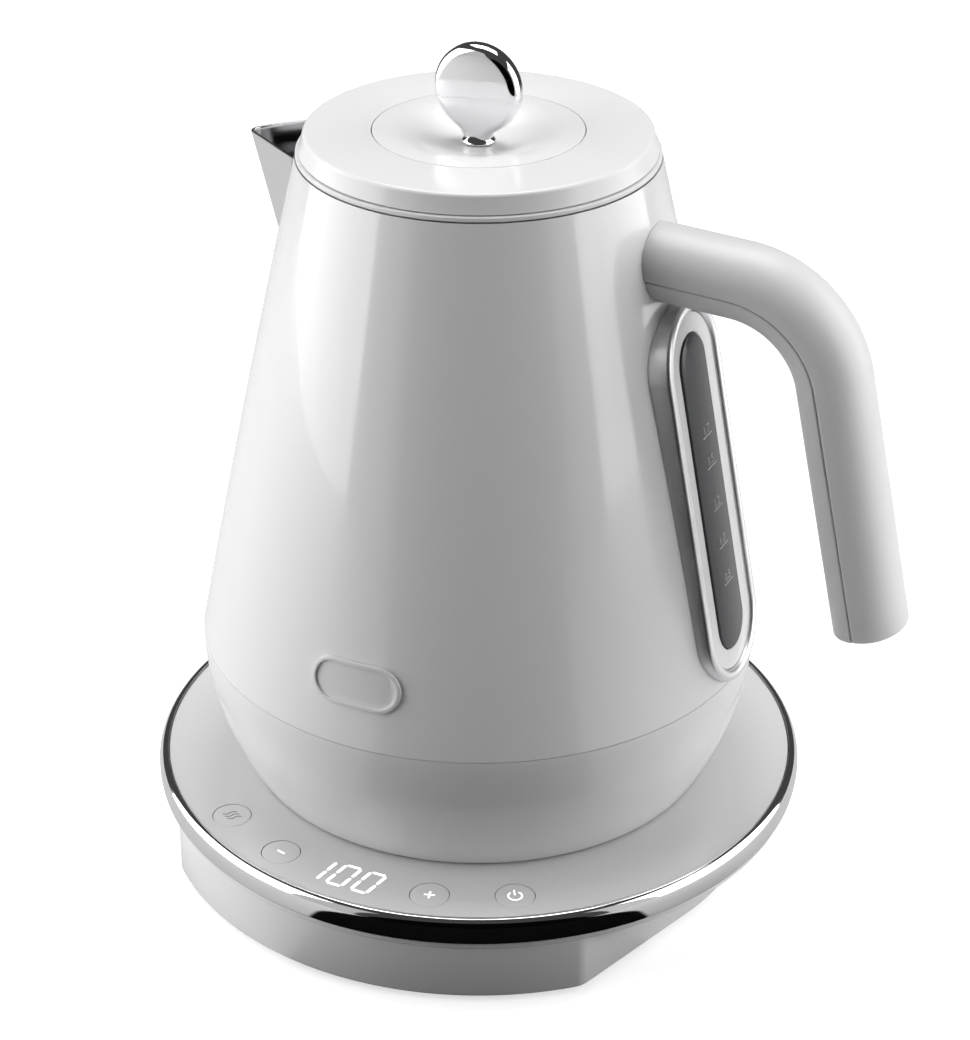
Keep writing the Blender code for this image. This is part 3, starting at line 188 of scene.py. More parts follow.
# ---- base housing ----
# The moulded underpart of the power base, in glossy white ABS: round at the back, with a wider arc under the
# controls and straight sides between. A shelf round its top carries the steel ring and the deck.

BIG_TURN = 192  # steps of a large turned piece
HOUSING_R, CHIN_R, CHIN_SIDE, CHIN_CORNER = 90.2, 103.0, 72.4, 7.0
HOUSING_FOOT, HOUSING_TOP = 1.5, 21.7
SHELF_R, SHELF_UNDER = 103.3, 19.5


def noise_group(name, outputs):
    """A node group that puts out the named values, with Scale and Amount as its inputs."""
    group = bpy.data.node_groups.new(name, "ShaderNodeTree")
    group.interface.new_socket("Scale", in_out="INPUT", socket_type="NodeSocketFloat")
    group.interface.new_socket("Amount", in_out="INPUT", socket_type="NodeSocketFloat")
    for output in outputs:
        group.interface.new_socket(output, in_out="OUTPUT", socket_type="NodeSocketFloat")
    return group, group.nodes.new("NodeGroupInput"), group.nodes.new("NodeGroupOutput")


# Moulded gloss: the faint swell of shiny plastic or sprayed paint, and a trace of handling.
peel, enters, leaves = noise_group("gloss_skin", ("Height", "Haze"))
place = node(peel, "ShaderNodeTexCoord")
swell = node(
    peel, "ShaderNodeTexNoise", Vector=place.outputs["Object"], Scale=enters.outputs["Scale"], Detail=1.5,
)
scaled = node(peel, "ShaderNodeMath", operation="MULTIPLY")
peel.links.new(swell.outputs["Fac"], scaled.inputs[0])
peel.links.new(enters.outputs["Amount"], scaled.inputs[1])
peel.links.new(scaled.outputs[0], leaves.inputs["Height"])
smear = node(
    peel, "ShaderNodeTexNoise", Vector=place.outputs["Object"], Scale=34.0, Detail=4.0, Roughness=0.62,
)
haze = node(peel, "ShaderNodeMapRange", Value=smear.outputs["Fac"], From_Min=0.42, From_Max=0.75)
peel.links.new(haze.outputs["Result"], leaves.inputs["Haze"])


def gloss(name, colour, roughness, coat=0.0, swell=260.0, depth=0.5):
    """A shiny white plastic or paint with its skin."""
    material, tree, shader = new_material(name)
    shader.inputs["Base Color"].default_value = (*colour, 1.0)
    shader.inputs["IOR"].default_value = 1.5
    shader.inputs["Coat Weight"].default_value = coat
    shader.inputs["Coat Roughness"].default_value = 0.03
    skin = node(tree, "ShaderNodeGroup", node_tree=peel, Scale=swell, Amount=depth)
    haze = skin.outputs["Haze"]
    level = node(tree, "ShaderNodeMapRange", Value=haze, To_Min=roughness, To_Max=roughness + 0.07)
    tree.links.new(level.outputs["Result"], shader.inputs["Roughness"])
    bump = node(tree, "ShaderNodeBump", Strength=0.035, Distance=0.0004, Height=skin.outputs["Height"])
    tree.links.new(bump.outputs["Normal"], shader.inputs["Normal"])
    return material


gloss_white = gloss("gloss_white_plastic", (0.80, 0.80, 0.805), 0.14)


def arc(centre, radius, start, end, steps):
    """Points from one angle to another, in degrees, both ends included."""
    angles = [math.radians(start + (end - start) * i / steps) for i in range(steps + 1)]
    return [(centre[0] + radius * math.cos(a), centre[1] + radius * math.sin(a)) for a in angles]


def face_out(shape):
    """Turns the faces of a closed shape outwards."""
    bmesh.ops.recalc_face_normals(shape, faces=shape.faces)
    if shape.calc_volume(signed=True) < 0:
        bmesh.ops.reverse_faces(shape, faces=shape.faces)


def raised(outline, low, high):
    """A solid with that outline seen from above."""
    shape = bmesh.new()
    base = shape.faces.new([shape.verts.new((x, y, low)) for x, y in outline])
    top = bmesh.ops.extrude_face_region(shape, geom=[base])["geom"]
    lifted = [v for v in top if isinstance(v, bmesh.types.BMVert)]
    bmesh.ops.translate(shape, verts=lifted, vec=(0, 0, high - low))
    face_out(shape)
    return shape


def soften(shape, radius, segments=3, angle=40.0, where=lambda edge: True):
    """Rounds the sharp edges of a shape that pass the test."""
    sharp = [
        edge for edge in shape.edges
        if edge.is_manifold and edge.calc_face_angle(0.0) > math.radians(angle) and where(edge)
    ]
    bmesh.ops.bevel(
        shape, geom=sharp, offset=radius, segments=segments, profile=0.5, affect="EDGES", material=-1,
    )
    return shape


def turned(profile, steps=BIG_TURN, centre=(0.0, 0.0)):
    """A closed (radius, height, rounding) profile turned about Z, or about an upright line through centre."""
    shape = bmesh.new()
    points = [shape.verts.new((r, 0, z)) for r, z, *_ in profile]
    ends = [] if profile[0][0] == profile[-1][0] == 0 else [(points[-1], points[0])]
    for pair in [*zip(points, points[1:]), *ends]:
        shape.edges.new(pair)
    for point, (_, _, *rounding) in zip(points, profile):
        if rounding:
            bmesh.ops.bevel(
                shape, geom=[point], offset=rounding[0], segments=5, profile=0.5, affect="VERTICES",
                material=-1,
            )
    bmesh.ops.spin(
        shape, geom=shape.verts[:] + shape.edges[:], cent=(0, 0, 0), axis=(0, 0, 1),
        angle=2 * math.pi, steps=steps, use_merge=True,
    )
    bmesh.ops.remove_doubles(shape, verts=shape.verts, dist=1e-4)
    face_out(shape)
    bmesh.ops.translate(shape, verts=shape.verts, vec=(*centre, 0))
    return shape


def solid(name, shape, material=None):
    """An object in metres from a bmesh in millimetres."""
    bmesh.ops.scale(shape, verts=shape.verts, vec=(MM, MM, MM))
    mesh = bpy.data.meshes.new(name)
    shape.to_mesh(mesh)
    shape.free()
    thing = bpy.data.objects.new(name, mesh)
    scene.collection.objects.link(thing)
    if material:
        mesh.materials.append(material)
    return thing


def carve(thing, operation, *others):
    """The thing with the others cut from it, joined to it or kept in common, and the others removed."""
    for other in others:
        boolean = thing.modifiers.new("carve", "BOOLEAN")
        boolean.operation = operation
        boolean.object = other
    bpy.context.view_layer.update()
    made = bpy.data.meshes.new_from_object(thing.evaluated_get(bpy.context.evaluated_depsgraph_get()))
    thing.modifiers.clear()
    thing.data = made
    for other in others:
        bpy.data.objects.remove(other)
    return thing


def settle(thing, body, slot, *nodes, angle=32.0):
    """Smooth shading with crisp edges, the body it rides and the nodes it stands for. The slot argument is
    not used.
    """
    thing.data.shade_smooth()
    thing.data.set_sharp_from_angle(angle=math.radians(angle))
    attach(thing, body)
    if nodes:
        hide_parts(*nodes)
    return thing


def base_outline(inset=0.0):
    back, front, corner = HOUSING_R - inset, CHIN_R - inset, CHIN_CORNER - inset
    side = math.radians(CHIN_SIDE)
    reach = front - corner
    turn = side - math.acos((back - corner) / reach)
    centre = (reach * math.sin(turn), -reach * math.cos(turn))
    front_end, side_end = math.degrees(turn) - 90, CHIN_SIDE - 90
    right = arc((0, 0), front, -90, front_end, 36) + arc(centre, corner, front_end, side_end, 12)[1:]
    rear = arc((0, 0), back, side_end, 90, 56)
    half = right + rear
    return half + [(-x, y) for x, y in half[-2:0:-1]]


housing = solid("housing_shell", soften(raised(base_outline(), HOUSING_FOOT, HOUSING_TOP), 0.9), gloss_white)
shelf = solid("housing_shelf", turned([
    (0, SHELF_UNDER), (SHELF_R, SHELF_UNDER, 0.6), (SHELF_R, HOUSING_TOP, 0.4), (0, HOUSING_TOP),
]))
hollow = solid("housing_hollow", raised(base_outline(2.2), -10, SHELF_UNDER))
opening = solid("shelf_opening", turned([(0, 10), (77, 10), (77, 30), (0, 30)], 96))
carve(housing, "UNION", shelf)
carve(housing, "DIFFERENCE", hollow, opening)
shape = bmesh.new()
bmesh.ops.create_cone(shape, cap_ends=True, segments=32, radius1=5.3, radius2=5.3, depth=24)
bmesh.ops.rotate(shape, verts=shape.verts, cent=(0, 0, 0), matrix=Matrix.Rotation(math.radians(90), 3, "X"))
bmesh.ops.translate(shape, verts=shape.verts, vec=(0, 88, 11.5))
carve(housing, "DIFFERENCE", solid("gland_bore", shape))
settle(housing, "base", "gloss_white", "base_housing")


# ---- base ring ----
# A rolled band of chromed steel round the deck, bright line above and a half round side below.

RING_R, RING_TOP, RING_FOOT = 105.0, 30.6, 22.0
DECK_R, DECK_TOP = 101.6, 30.2

# Drawn metal: fine lines that run round a turned piece, and a slow change of polish.
lines, enters, leaves = noise_group("polish_lines", ("Height", "Wear"))
place = node(lines, "ShaderNodeTexCoord")
spread = node(lines, "ShaderNodeMapping", Vector=place.outputs["Object"], Scale=(18.0, 18.0, 900.0))
drawn = node(
    lines, "ShaderNodeTexNoise", Vector=spread.outputs["Vector"], Scale=enters.outputs["Scale"], Detail=3.0,
)
scaled = node(lines, "ShaderNodeMath", operation="MULTIPLY")
lines.links.new(drawn.outputs["Fac"], scaled.inputs[0])
lines.links.new(enters.outputs["Amount"], scaled.inputs[1])
lines.links.new(scaled.outputs[0], leaves.inputs["Height"])
patches = node(
    lines, "ShaderNodeTexNoise", Vector=place.outputs["Object"], Scale=45.0, Detail=5.0, Roughness=0.6,
)
wear = node(lines, "ShaderNodeMapRange", Value=patches.outputs["Fac"], From_Min=0.4, From_Max=0.7)
lines.links.new(wear.outputs["Result"], leaves.inputs["Wear"])


def metal(name, colour, roughness, spread, fineness=1.0, depth=0.02):
    """A metal whose polish changes a little from place to place, with drawn lines in it."""
    material, tree, shader = new_material(name)
    shader.inputs["Base Color"].default_value = (*colour, 1.0)
    shader.inputs["Metallic"].default_value = 1.0
    skin = node(tree, "ShaderNodeGroup", node_tree=lines, Scale=fineness, Amount=1.0)
    wear = skin.outputs["Wear"]
    level = node(tree, "ShaderNodeMapRange", Value=wear, To_Min=roughness, To_Max=roughness + spread)
    tree.links.new(level.outputs["Result"], shader.inputs["Roughness"])
    bump = node(tree, "ShaderNodeBump", Strength=depth, Distance=0.0002, Height=skin.outputs["Height"])
    tree.links.new(bump.outputs["Normal"], shader.inputs["Normal"])
    return material


chrome = metal("chrome_plating", (0.80, 0.80, 0.81), 0.05, 0.03, depth=0.01)

middle, half = (RING_TOP + RING_FOOT) / 2, (RING_TOP - RING_FOOT) / 2
profile = []
for i in range(25):
    a = math.radians(-90 + 180 * i / 24)
    inset = 2.5 if a > 0 else 1.0
    profile.append((RING_R - inset * (1 - math.cos(a)), middle + half * math.sin(a)))
profile += [(DECK_R + 0.35, RING_TOP - 0.05, 0.2), (DECK_R + 0.3, RING_FOOT)]
settle(solid("steel_ring", turned(profile), chrome), "base", "chrome", "base_ring")


# ---- deck ----
# The glossy white top of the base, with a shallow well that the jug stands in and four holes for the buttons.
# The temperature shows through it as lit bars.

BUTTON_CIRCLE, BUTTON_R, BUTTON_STEP = 91.5, 6.0, 16.25
RECESS_R, RECESS_Z, RECESS_UNDER = 72.0, 26.7, 24.4
TOWER_R, TOWER_TOP = 15.5, 37.0
DIGIT_CIRCLE = 90.4
DECK_UNDER, DECK_FOOT, SKIRT_IN = 27.7, 22.0, 99.4


def on_circle(radius, degrees):
    """A point at that angle from -Y, towards +X."""
    a = math.radians(degrees)
    return radius * math.sin(a), -radius * math.cos(a)


deck_white = gloss("deck_white_plastic", (0.70, 0.70, 0.705), 0.09)
deck = solid("deck_plate", turned([
    (DECK_R, DECK_FOOT), (DECK_R, DECK_TOP, 0.35), (RECESS_R, DECK_TOP, 0.8), (RECESS_R - 1, RECESS_Z, 0.6),
    (TOWER_R + 0.3, RECESS_Z, 0.2), (TOWER_R + 0.3, RECESS_UNDER), (RECESS_R + 1, RECESS_UNDER),
    (RECESS_R + 2.5, DECK_UNDER), (SKIRT_IN, DECK_UNDER), (SKIRT_IN, DECK_FOOT),
]), deck_white)
for i in (-2, -1, 1, 2):
    bore = [(0, 27), (BUTTON_R + 0.2, 27), (BUTTON_R + 0.2, 31), (0, 31)]
    hole = turned(bore, 64, on_circle(BUTTON_CIRCLE, i * BUTTON_STEP))
    carve(deck, "DIFFERENCE", solid("button_hole", hole))
settle(deck, "base", "gloss_white", "base_deck")


def lit(name, strength):
    """A printed mark that a lamp behind the deck shines through, a little uneven like real light pipes."""
    material, tree, shader = new_material(name)
    shader.inputs["Base Color"].default_value = (0.9, 0.9, 0.9, 1.0)
    shader.inputs["Roughness"].default_value = 0.3
    shader.inputs["Emission Strength"].default_value = strength
    skin = node(tree, "ShaderNodeGroup", node_tree=peel, Scale=400.0, Amount=1.0)
    tint = node(tree, "ShaderNodeMapRange", Value=skin.outputs["Height"], To_Min=0.9, To_Max=1.0)
    tree.links.new(tint.outputs["Result"], shader.inputs["Emission Color"])
    return material


lamp_white = lit("lamp_white", 1.0)
MARK_LIFT = 0.02  # a printed mark stands this far over what it is printed on


def slab(shape_list, low, high):
    """One shape from flat outlines, each raised between the two heights."""
    whole = bmesh.new()
    for outline in shape_list:
        part = raised(outline, low, high)
        mesh = bpy.data.meshes.new("part")
        part.to_mesh(mesh)
        part.free()
        whole.from_mesh(mesh)
        bpy.data.meshes.remove(mesh)
    return whole


def bar(x0, y0, x1, y1, width):
    """A six-sided display bar between two points, pointed at both ends."""
    along = Vector((x1 - x0, y1 - y0)).normalized()
    across = Vector((-along.y, along.x)) * width / 2
    a, b = Vector((x0, y0)) + along * 0.2, Vector((x1, y1)) - along * 0.2
    tip = along * width / 2
    return [tuple(p) for p in (a, a + tip - across, b - tip - across, b, b - tip + across, a + tip + across)]


SEGMENT_ENDS = {
    "a": ((0, 2), (1, 2)), "b": ((1, 2), (1, 1)), "c": ((1, 1), (1, 0)),
    "d": ((0, 0), (1, 0)), "e": ((0, 1), (0, 0)), "f": ((0, 2), (0, 1)),
}
DIGIT_W, DIGIT_H, DIGIT_PITCH, DIGIT_BAR, DIGIT_SLANT = 5.2, 5.2, 8.5, 1.05, 0.17
bars = []
for column, segments in enumerate(("bc", "abcdef", "abcdef")):
    for segment in segments:
        ends = []
        for u, v in SEGMENT_ENDS[segment]:
            x = (column - 1) * DIGIT_PITCH - 2.3 + (u - 0.5) * DIGIT_W + (v - 1) * DIGIT_H * DIGIT_SLANT
            ends += [x, (v - 1) * DIGIT_H - DIGIT_CIRCLE]
        bars.append(bar(*ends, DIGIT_BAR))
digits = solid("display_digits", slab(bars, DECK_TOP - 0.05, DECK_TOP + MARK_LIFT), lamp_white)
settle(digits, "base", "gloss_white")


# ---- buttons ----
# Four round white keys flush with the deck, each in a hairline gap and with a printed sign: three wavy
# lines for keeping warm, minus, plus and the power sign.

BUTTON_FOOT, FLANGE_TOP = 26.1, 27.1

mark_grey, tree, shader = new_material("printed_grey")
shader.inputs["Base Color"].default_value = (0.16, 0.16, 0.165, 1.0)
skin = node(tree, "ShaderNodeGroup", node_tree=peel, Scale=900.0, Amount=1.0)
level = node(tree, "ShaderNodeMapRange", Value=skin.outputs["Height"], To_Min=0.35, To_Max=0.5)
tree.links.new(level.outputs["Result"], shader.inputs["Roughness"])


def band(points, width):
    """A flat strip of even width along a line of points."""
    sides = ([], [])
    for i, point in enumerate(points):
        before, after = Vector(points[max(i - 1, 0)]), Vector(points[min(i + 1, len(points) - 1)])
        along = (after - before).normalized()
        across = Vector((-along.y, along.x)) * width / 2
        sides[0].append(tuple(Vector(point) - across))
        sides[1].append(tuple(Vector(point) + across))
    return sides[0] + sides[1][::-1]


def wave(x):
    """A leaning wavy line, one of the three that mean keeping warm."""
    points = [(x + 0.45 * math.sin(math.pi * t / 6) + 0.12 * (t - 6), (t - 6) * 0.36) for t in range(13)]
    return band(points, 0.42)


signs = {
    "keep_warm": ([wave(-1.5), wave(0.0), wave(1.5)], mark_grey),
    "minus": ([band([(-1.5, 0), (1.5, 0)], 0.6)], lamp_white),
    "plus": ([
        band([(-1.7, 0), (-0.3, 0)], 0.6), band([(0, -1.7), (0, 1.7)], 0.6), band([(0.3, 0), (1.7, 0)], 0.6),
    ], lamp_white),
    "power": ([band(arc((0, 0), 2.1, -235, 55, 28), 0.5), band([(0, 0.4), (0, 2.9)], 0.5)], lamp_white),
}
key_white = gloss("key_white_plastic", (0.72, 0.72, 0.725), 0.12)
for i, name in zip((-2, -1, 1, 2), signs):
    degrees = i * BUTTON_STEP
    centre = on_circle(BUTTON_CIRCLE, degrees)
    key = turned([
        (0, BUTTON_FOOT), (BUTTON_R + 0.8, BUTTON_FOOT), (BUTTON_R + 0.8, FLANGE_TOP), (BUTTON_R, FLANGE_TOP),
        (BUTTON_R, DECK_TOP - 0.03, 0.3), (0, DECK_TOP - 0.03),
    ], 64, centre)
    settle(solid(f"key_{name}", key, key_white), f"{name}_button", "gloss_white", f"button_{name}")
    outlines, ink = signs[name]
    sign = slab(outlines, DECK_TOP - 0.2, DECK_TOP - 0.01)
    turn = Matrix.Rotation(math.radians(degrees), 3, "Z")
    bmesh.ops.rotate(sign, verts=sign.verts, cent=(0, 0, 0), matrix=turn)
    bmesh.ops.translate(sign, verts=sign.verts, vec=(*centre, 0))
    settle(solid(f"sign_{name}", sign, ink), f"{name}_button", "gloss_white")


# ---- power connector ----
# A black nylon tower in the middle of the deck, with an annular slot for the live contacts and a hole for the
# earth pin. The jug's socket drops over it in any direction.

SLOT_IN, SLOT_OUT, PIN_HOLE, SLOT_FLOOR = 6.2, 9.2, 3.0, 26.0

# Black plastic: a fine spark-eroded grain.
grain, enters, leaves = noise_group("moulded_grain", ("Height", "Tone"))
place = node(grain, "ShaderNodeTexCoord")
pits = node(
    grain, "ShaderNodeTexNoise", Vector=place.outputs["Object"], Scale=enters.outputs["Scale"], Detail=2.0,
)
scaled = node(grain, "ShaderNodeMath", operation="MULTIPLY")
grain.links.new(pits.outputs["Fac"], scaled.inputs[0])
grain.links.new(enters.outputs["Amount"], scaled.inputs[1])
grain.links.new(scaled.outputs[0], leaves.inputs["Height"])
clouds = node(grain, "ShaderNodeTexNoise", Vector=place.outputs["Object"], Scale=28.0, Detail=3.0)
grain.links.new(clouds.outputs["Fac"], leaves.inputs["Tone"])


def grained(name, dark, light, roughness, scale=1400.0, strength=0.12):
    """A matt or satin material with grain, its colour drifting between two near tones."""
    material, tree, shader = new_material(name)
    skin = node(tree, "ShaderNodeGroup", node_tree=grain, Scale=scale, Amount=1.0)
    tone = node(tree, "ShaderNodeValToRGB", Fac=skin.outputs["Tone"])
    tone.color_ramp.elements[0].color = (*dark, 1.0)
    tone.color_ramp.elements[1].color = (*light, 1.0)
    tree.links.new(tone.outputs["Color"], shader.inputs["Base Color"])
    level = node(
        tree, "ShaderNodeMapRange", Value=skin.outputs["Height"],
        To_Min=roughness - 0.05, To_Max=roughness + 0.08,
    )
    tree.links.new(level.outputs["Result"], shader.inputs["Roughness"])
    bump = node(tree, "ShaderNodeBump", Strength=strength, Distance=0.00015, Height=skin.outputs["Height"])
    tree.links.new(bump.outputs["Normal"], shader.inputs["Normal"])
    return material


black_plastic = grained("black_nylon", (0.018, 0.018, 0.019), (0.03, 0.03, 0.031), 0.42)
tower = turned([
    (0, 12.4), (TOWER_R + 2, 12.4, 0.6), (TOWER_R + 2, 21.7), (22, 21.7, 0.3), (22, 24.1, 0.5),
    (TOWER_R, 24.1),
    (TOWER_R, TOWER_TOP, 1.0), (SLOT_OUT, TOWER_TOP, 0.6), (SLOT_OUT, SLOT_FLOOR), (SLOT_IN, SLOT_FLOOR),
    (SLOT_IN, TOWER_TOP, 0.6), (PIN_HOLE, TOWER_TOP, 0.5), (PIN_HOLE, SLOT_FLOOR), (0, SLOT_FLOOR),
], 96)
settle(solid("connector_tower", tower, black_plastic), "base", "black_plastic", "base_connector")


# ---- jug socket ----
# The female half, in the same black nylon, with its brass ring and earth pin, up inside the jug's foot.

brass = metal("turned_brass", (0.72, 0.53, 0.24), 0.2, 0.1)
socket = turned([
    (0, 38.5), (16.1, 38.5), (16.1, 30.2), (17.1, 29.2, 0.3), (19.3, 29.2, 0.5), (19.3, 43.0, 0.8), (0, 43.0),
], 96)
settle(solid("socket_cup", socket, black_plastic), "dock", "black_plastic", "jug_connector")
contact = turned([(8.4, 27.0, 0.2), (8.4, 38.2), (7.0, 38.2), (7.0, 27.0, 0.2)], 64)
settle(solid("contact_ring", contact, brass), "dock", "brass", "jug_contact_ring")
pin = turned([(0, 27.0), (1.6, 27.0, 0.4), (2.2, 28.5, 0.4), (2.2, 38.2), (0, 38.2)], 32)
settle(solid("earth_pin", pin, brass), "dock", "brass", "jug_earth_pin")


# ---- body ----
# A drawn stainless shell, sprayed glossy white outside and left bare inside, that leans in from the seam
# to the rim. The side swells a little out of a straight cone.

SEAM_R, SEAM_Z, RIM_R, RIM_Z, SWELL, WALL = 88.2, 76.2, 54.4, 233.3, 0.7, 1.0
SKIRT_R, SKIRT_FOOT = 85.7, 66.7
WINDOW_Z, WINDOW_TILT, WINDOW_LENGTH, LENS_HALF = 137.2, 10.7, 51.6, 9.2
SPOUT_REACH, SPOUT_HALF, SPOUT_ROOT, SPOUT_TIP_ROUND = 76.9, 24.1, 48.3, 3.5
SPOUT_TIP_Z, SPOUT_ROOT_Z, SPOUT_KEEL_Z, SPOUT_WALL = 228.5, 231.3, 184.4, 0.8


def body_radius(z):
    t = (z - SEAM_Z) / (RIM_Z - SEAM_Z)
    return SEAM_R + (RIM_R - SEAM_R) * t + SWELL * 4 * t * (1 - t)


def body_heights(count):
    return [SEAM_Z + 0.15 + (RIM_Z - SEAM_Z - 0.15) * i / count for i in range(count + 1)]


def body_trim(offset):
    """The outer body as a solid, grown by offset, that trims what is fixed to it."""
    side = [(body_radius(z) + offset, z) for z in body_heights(40)]
    profile = [(0, 40), (side[0][0], 40), *side, (side[-1][0], 260), (0, 260)]
    return solid("body_trim", turned(profile))


def stadium(half_width, half_length, steps=24):
    straight = half_length - half_width
    return arc((0, straight), half_width, 0, 180, steps) + arc((0, -straight), half_width, 180, 360, steps)


def window_outline(half_width):
    return stadium(half_width, WINDOW_LENGTH + half_width - LENS_HALF)


tilt = math.radians(WINDOW_TILT)
axes = Matrix(((0, -math.sin(tilt), math.cos(tilt)), (1, 0, 0), (0, math.cos(tilt), math.sin(tilt))))
window_place = Matrix.Translation((body_radius(WINDOW_Z) + 2.6, 0, WINDOW_Z)) @ axes.to_4x4()


def at_window(shape):
    bmesh.ops.transform(shape, matrix=window_place, verts=shape.verts)
    face_out(shape)
    return shape


def spout_wedge(name, inset, lift):
    """The spout as a solid: its lip outline drawn down to a point at the foot of the keel, in even steps."""
    centre = SPOUT_REACH - SPOUT_TIP_ROUND
    run = centre - SPOUT_ROOT
    turn = math.acos(SPOUT_TIP_ROUND / math.hypot(run, SPOUT_HALF)) - math.atan2(run, SPOUT_HALF)
    apex_x, apex_z = body_radius(SPOUT_KEEL_Z) - 1.0, SPOUT_KEEL_Z - 3.6
    side = (centre - apex_x) * math.sin(turn) + SPOUT_TIP_ROUND
    apex = Vector((-apex_x, 0, apex_z + inset / side * (SPOUT_TIP_Z - apex_z)))
    degrees = math.degrees(turn)
    tip = arc((-centre, 0), SPOUT_TIP_ROUND - inset, 90 + degrees, 270 - degrees, 28)
    back = SPOUT_ROOT - 12
    flank = (tip[0][0] + back) * -math.tan(turn)
    rise = (SPOUT_ROOT_Z - SPOUT_TIP_Z) / (SPOUT_REACH - SPOUT_ROOT)
    shape = bmesh.new()
    lip = [
        shape.verts.new(apex + (Vector((x, y, SPOUT_TIP_Z + rise * (x + SPOUT_REACH))) - apex) * lift)
        for x, y in [(-back, tip[0][1] + flank), *tip, (-back, tip[-1][1] - flank)]
    ]
    lid = shape.faces.new(lip)
    edges = lid.edges[:]
    for i in range(16, 0, -1):
        made = bmesh.ops.extrude_edge_only(shape, edges=edges)["geom"]
        verts = [v for v in made if isinstance(v, bmesh.types.BMVert)]
        edges = [e for e in made if isinstance(e, bmesh.types.BMEdge)]
        share = (i - 1) / i
        bmesh.ops.scale(shape, verts=verts, vec=(share, share, share), space=Matrix.Translation(-apex))
    bmesh.ops.remove_doubles(shape, verts=shape.verts, dist=1e-4)
    face_out(shape)
    return solid(name, shape)


enamel = gloss("enamel_paint", (0.80, 0.80, 0.805), 0.16, coat=0.6, swell=210.0, depth=0.6)
bare_steel = metal("bare_steel_inside", (0.50, 0.50, 0.51), 0.32, 0.12, depth=0.05)

heights = body_heights(48)
outside = [(body_radius(z), z) for z in heights]
inside = [(body_radius(z) - WALL, z) for z in reversed(heights[1:])]
neck = SKIRT_R - WALL
shell = solid("painted_body", turned([
    (SKIRT_R, SKIRT_FOOT), (SKIRT_R, heights[0]), *outside, *inside,
    (neck, heights[0] + 2), (neck, SKIRT_FOOT),
]), enamel)
shell.data.materials.append(bare_steel)
window_hole = solid("window_hole", at_window(raised(window_outline(LENS_HALF + 1.8), -40, 40)))
carve(shell, "DIFFERENCE", window_hole, spout_wedge("pouring_hole", SPOUT_WALL + 2.2, 1.0))
for face in shell.data.polygons:
    out = Vector((face.center.x, face.center.y, 0)).normalized()
    if face.normal.dot(out) < 0.2 and face.center.z > (SEAM_Z - 12) * MM:
        face.material_index = 1
settle(shell, "jug", "enamel_paint", "body_shell", angle=25)


# ---- rim ring ----
# A white plastic ring pressed into the mouth of the shell. Its flange shows as a fine line under the lid.

SLEEVE_R, SLEEVE_FOOT = RIM_R - WALL - 0.3 - 1.4, 227.0
rim = turned([
    (SLEEVE_R, SLEEVE_FOOT), (SLEEVE_R + 1.4, SLEEVE_FOOT), (SLEEVE_R + 1.4, RIM_Z + 0.3),
    (RIM_R - 0.2, RIM_Z + 0.3, 0.25),
    (RIM_R - 0.2, RIM_Z + 1.7, 0.4), (SLEEVE_R, RIM_Z + 1.7, 0.4),
])
settle(solid("mouth_ring", rim, gloss_white), "jug", "gloss_white", "rim_ring")


# ---- collar ----
# The curved white moulding under the seam, which tucks in to the foot and carries the jug's floor.

FOOT_EDGE_R, FOOT_EDGE_Z, COLLAR_WALL = 75.1, 30.7, 2.2
FLANGE_R, FLANGE_Z = 54.0, 33.7


def collar_radius(z):
    t = (SEAM_Z - z) / (SEAM_Z - FOOT_EDGE_Z)
    return SEAM_R - (SEAM_R - FOOT_EDGE_R) * t * t


collar_white = gloss("collar_white_plastic", (0.78, 0.78, 0.785), 0.13)
top, ledge = SEAM_Z - 0.15, SKIRT_FOOT - 0.3
steps_up = [FOOT_EDGE_Z + (top - FOOT_EDGE_Z) * i / 28 for i in range(29)]
collar_side = [(collar_radius(z), z) for z in steps_up]
collar_side[0] += (0.6,)
collar_side[-1] += (0.25,)
flange_top = 35.9
inner = [(collar_radius(z) - COLLAR_WALL, z) for z in (ledge, 56.0, 46.0, flange_top)]
bore = FOOT_EDGE_R - COLLAR_WALL
collar = turned([
    *collar_side, (SKIRT_R + 0.3, top), (SKIRT_R + 0.3, ledge), *inner,
    (FLANGE_R, flange_top), (FLANGE_R, FLANGE_Z), (bore, FLANGE_Z), (bore, FOOT_EDGE_Z, 0.4),
])
settle(solid("collar_moulding", collar, collar_white), "jug", "gloss_white", "collar")


# ---- foot cover and its screws ----
# The plate that closes the jug from below, with the ring it stands on and a hole for the socket. Three steel
# screws hold it.

COVER_Z, COVER_TOP, RING_STAND = 31.0, 33.4, 27.0
cover = solid("foot_plate", turned([
    (20.0, COVER_Z, 0.3), (20.0, COVER_TOP), (72.6, COVER_TOP), (72.6, COVER_Z, 0.5), (69.0, COVER_Z),
    (69.0, RING_STAND, 1.0), (64.0, RING_STAND, 1.0), (64.0, COVER_Z),
]), collar_white)
steel = metal("stainless_steel", (0.56, 0.56, 0.57), 0.22, 0.1, depth=0.04)
screw_places = [on_circle(60.0, angle) for angle in (60, 180, 300)]
for x, y in screw_places:
    well = turned([(0, 20), (3.7, 20), (3.7, 32.1), (1.8, 32.1), (1.8, 50), (0, 50)], 40, (x, y))
    carve(cover, "DIFFERENCE", solid("screw_well", well))
settle(cover, "jug", "gloss_white", "foot_cover")

HEAD_R, HEAD_HEIGHT, SHANK_R = 3.4, 1.1, 1.5


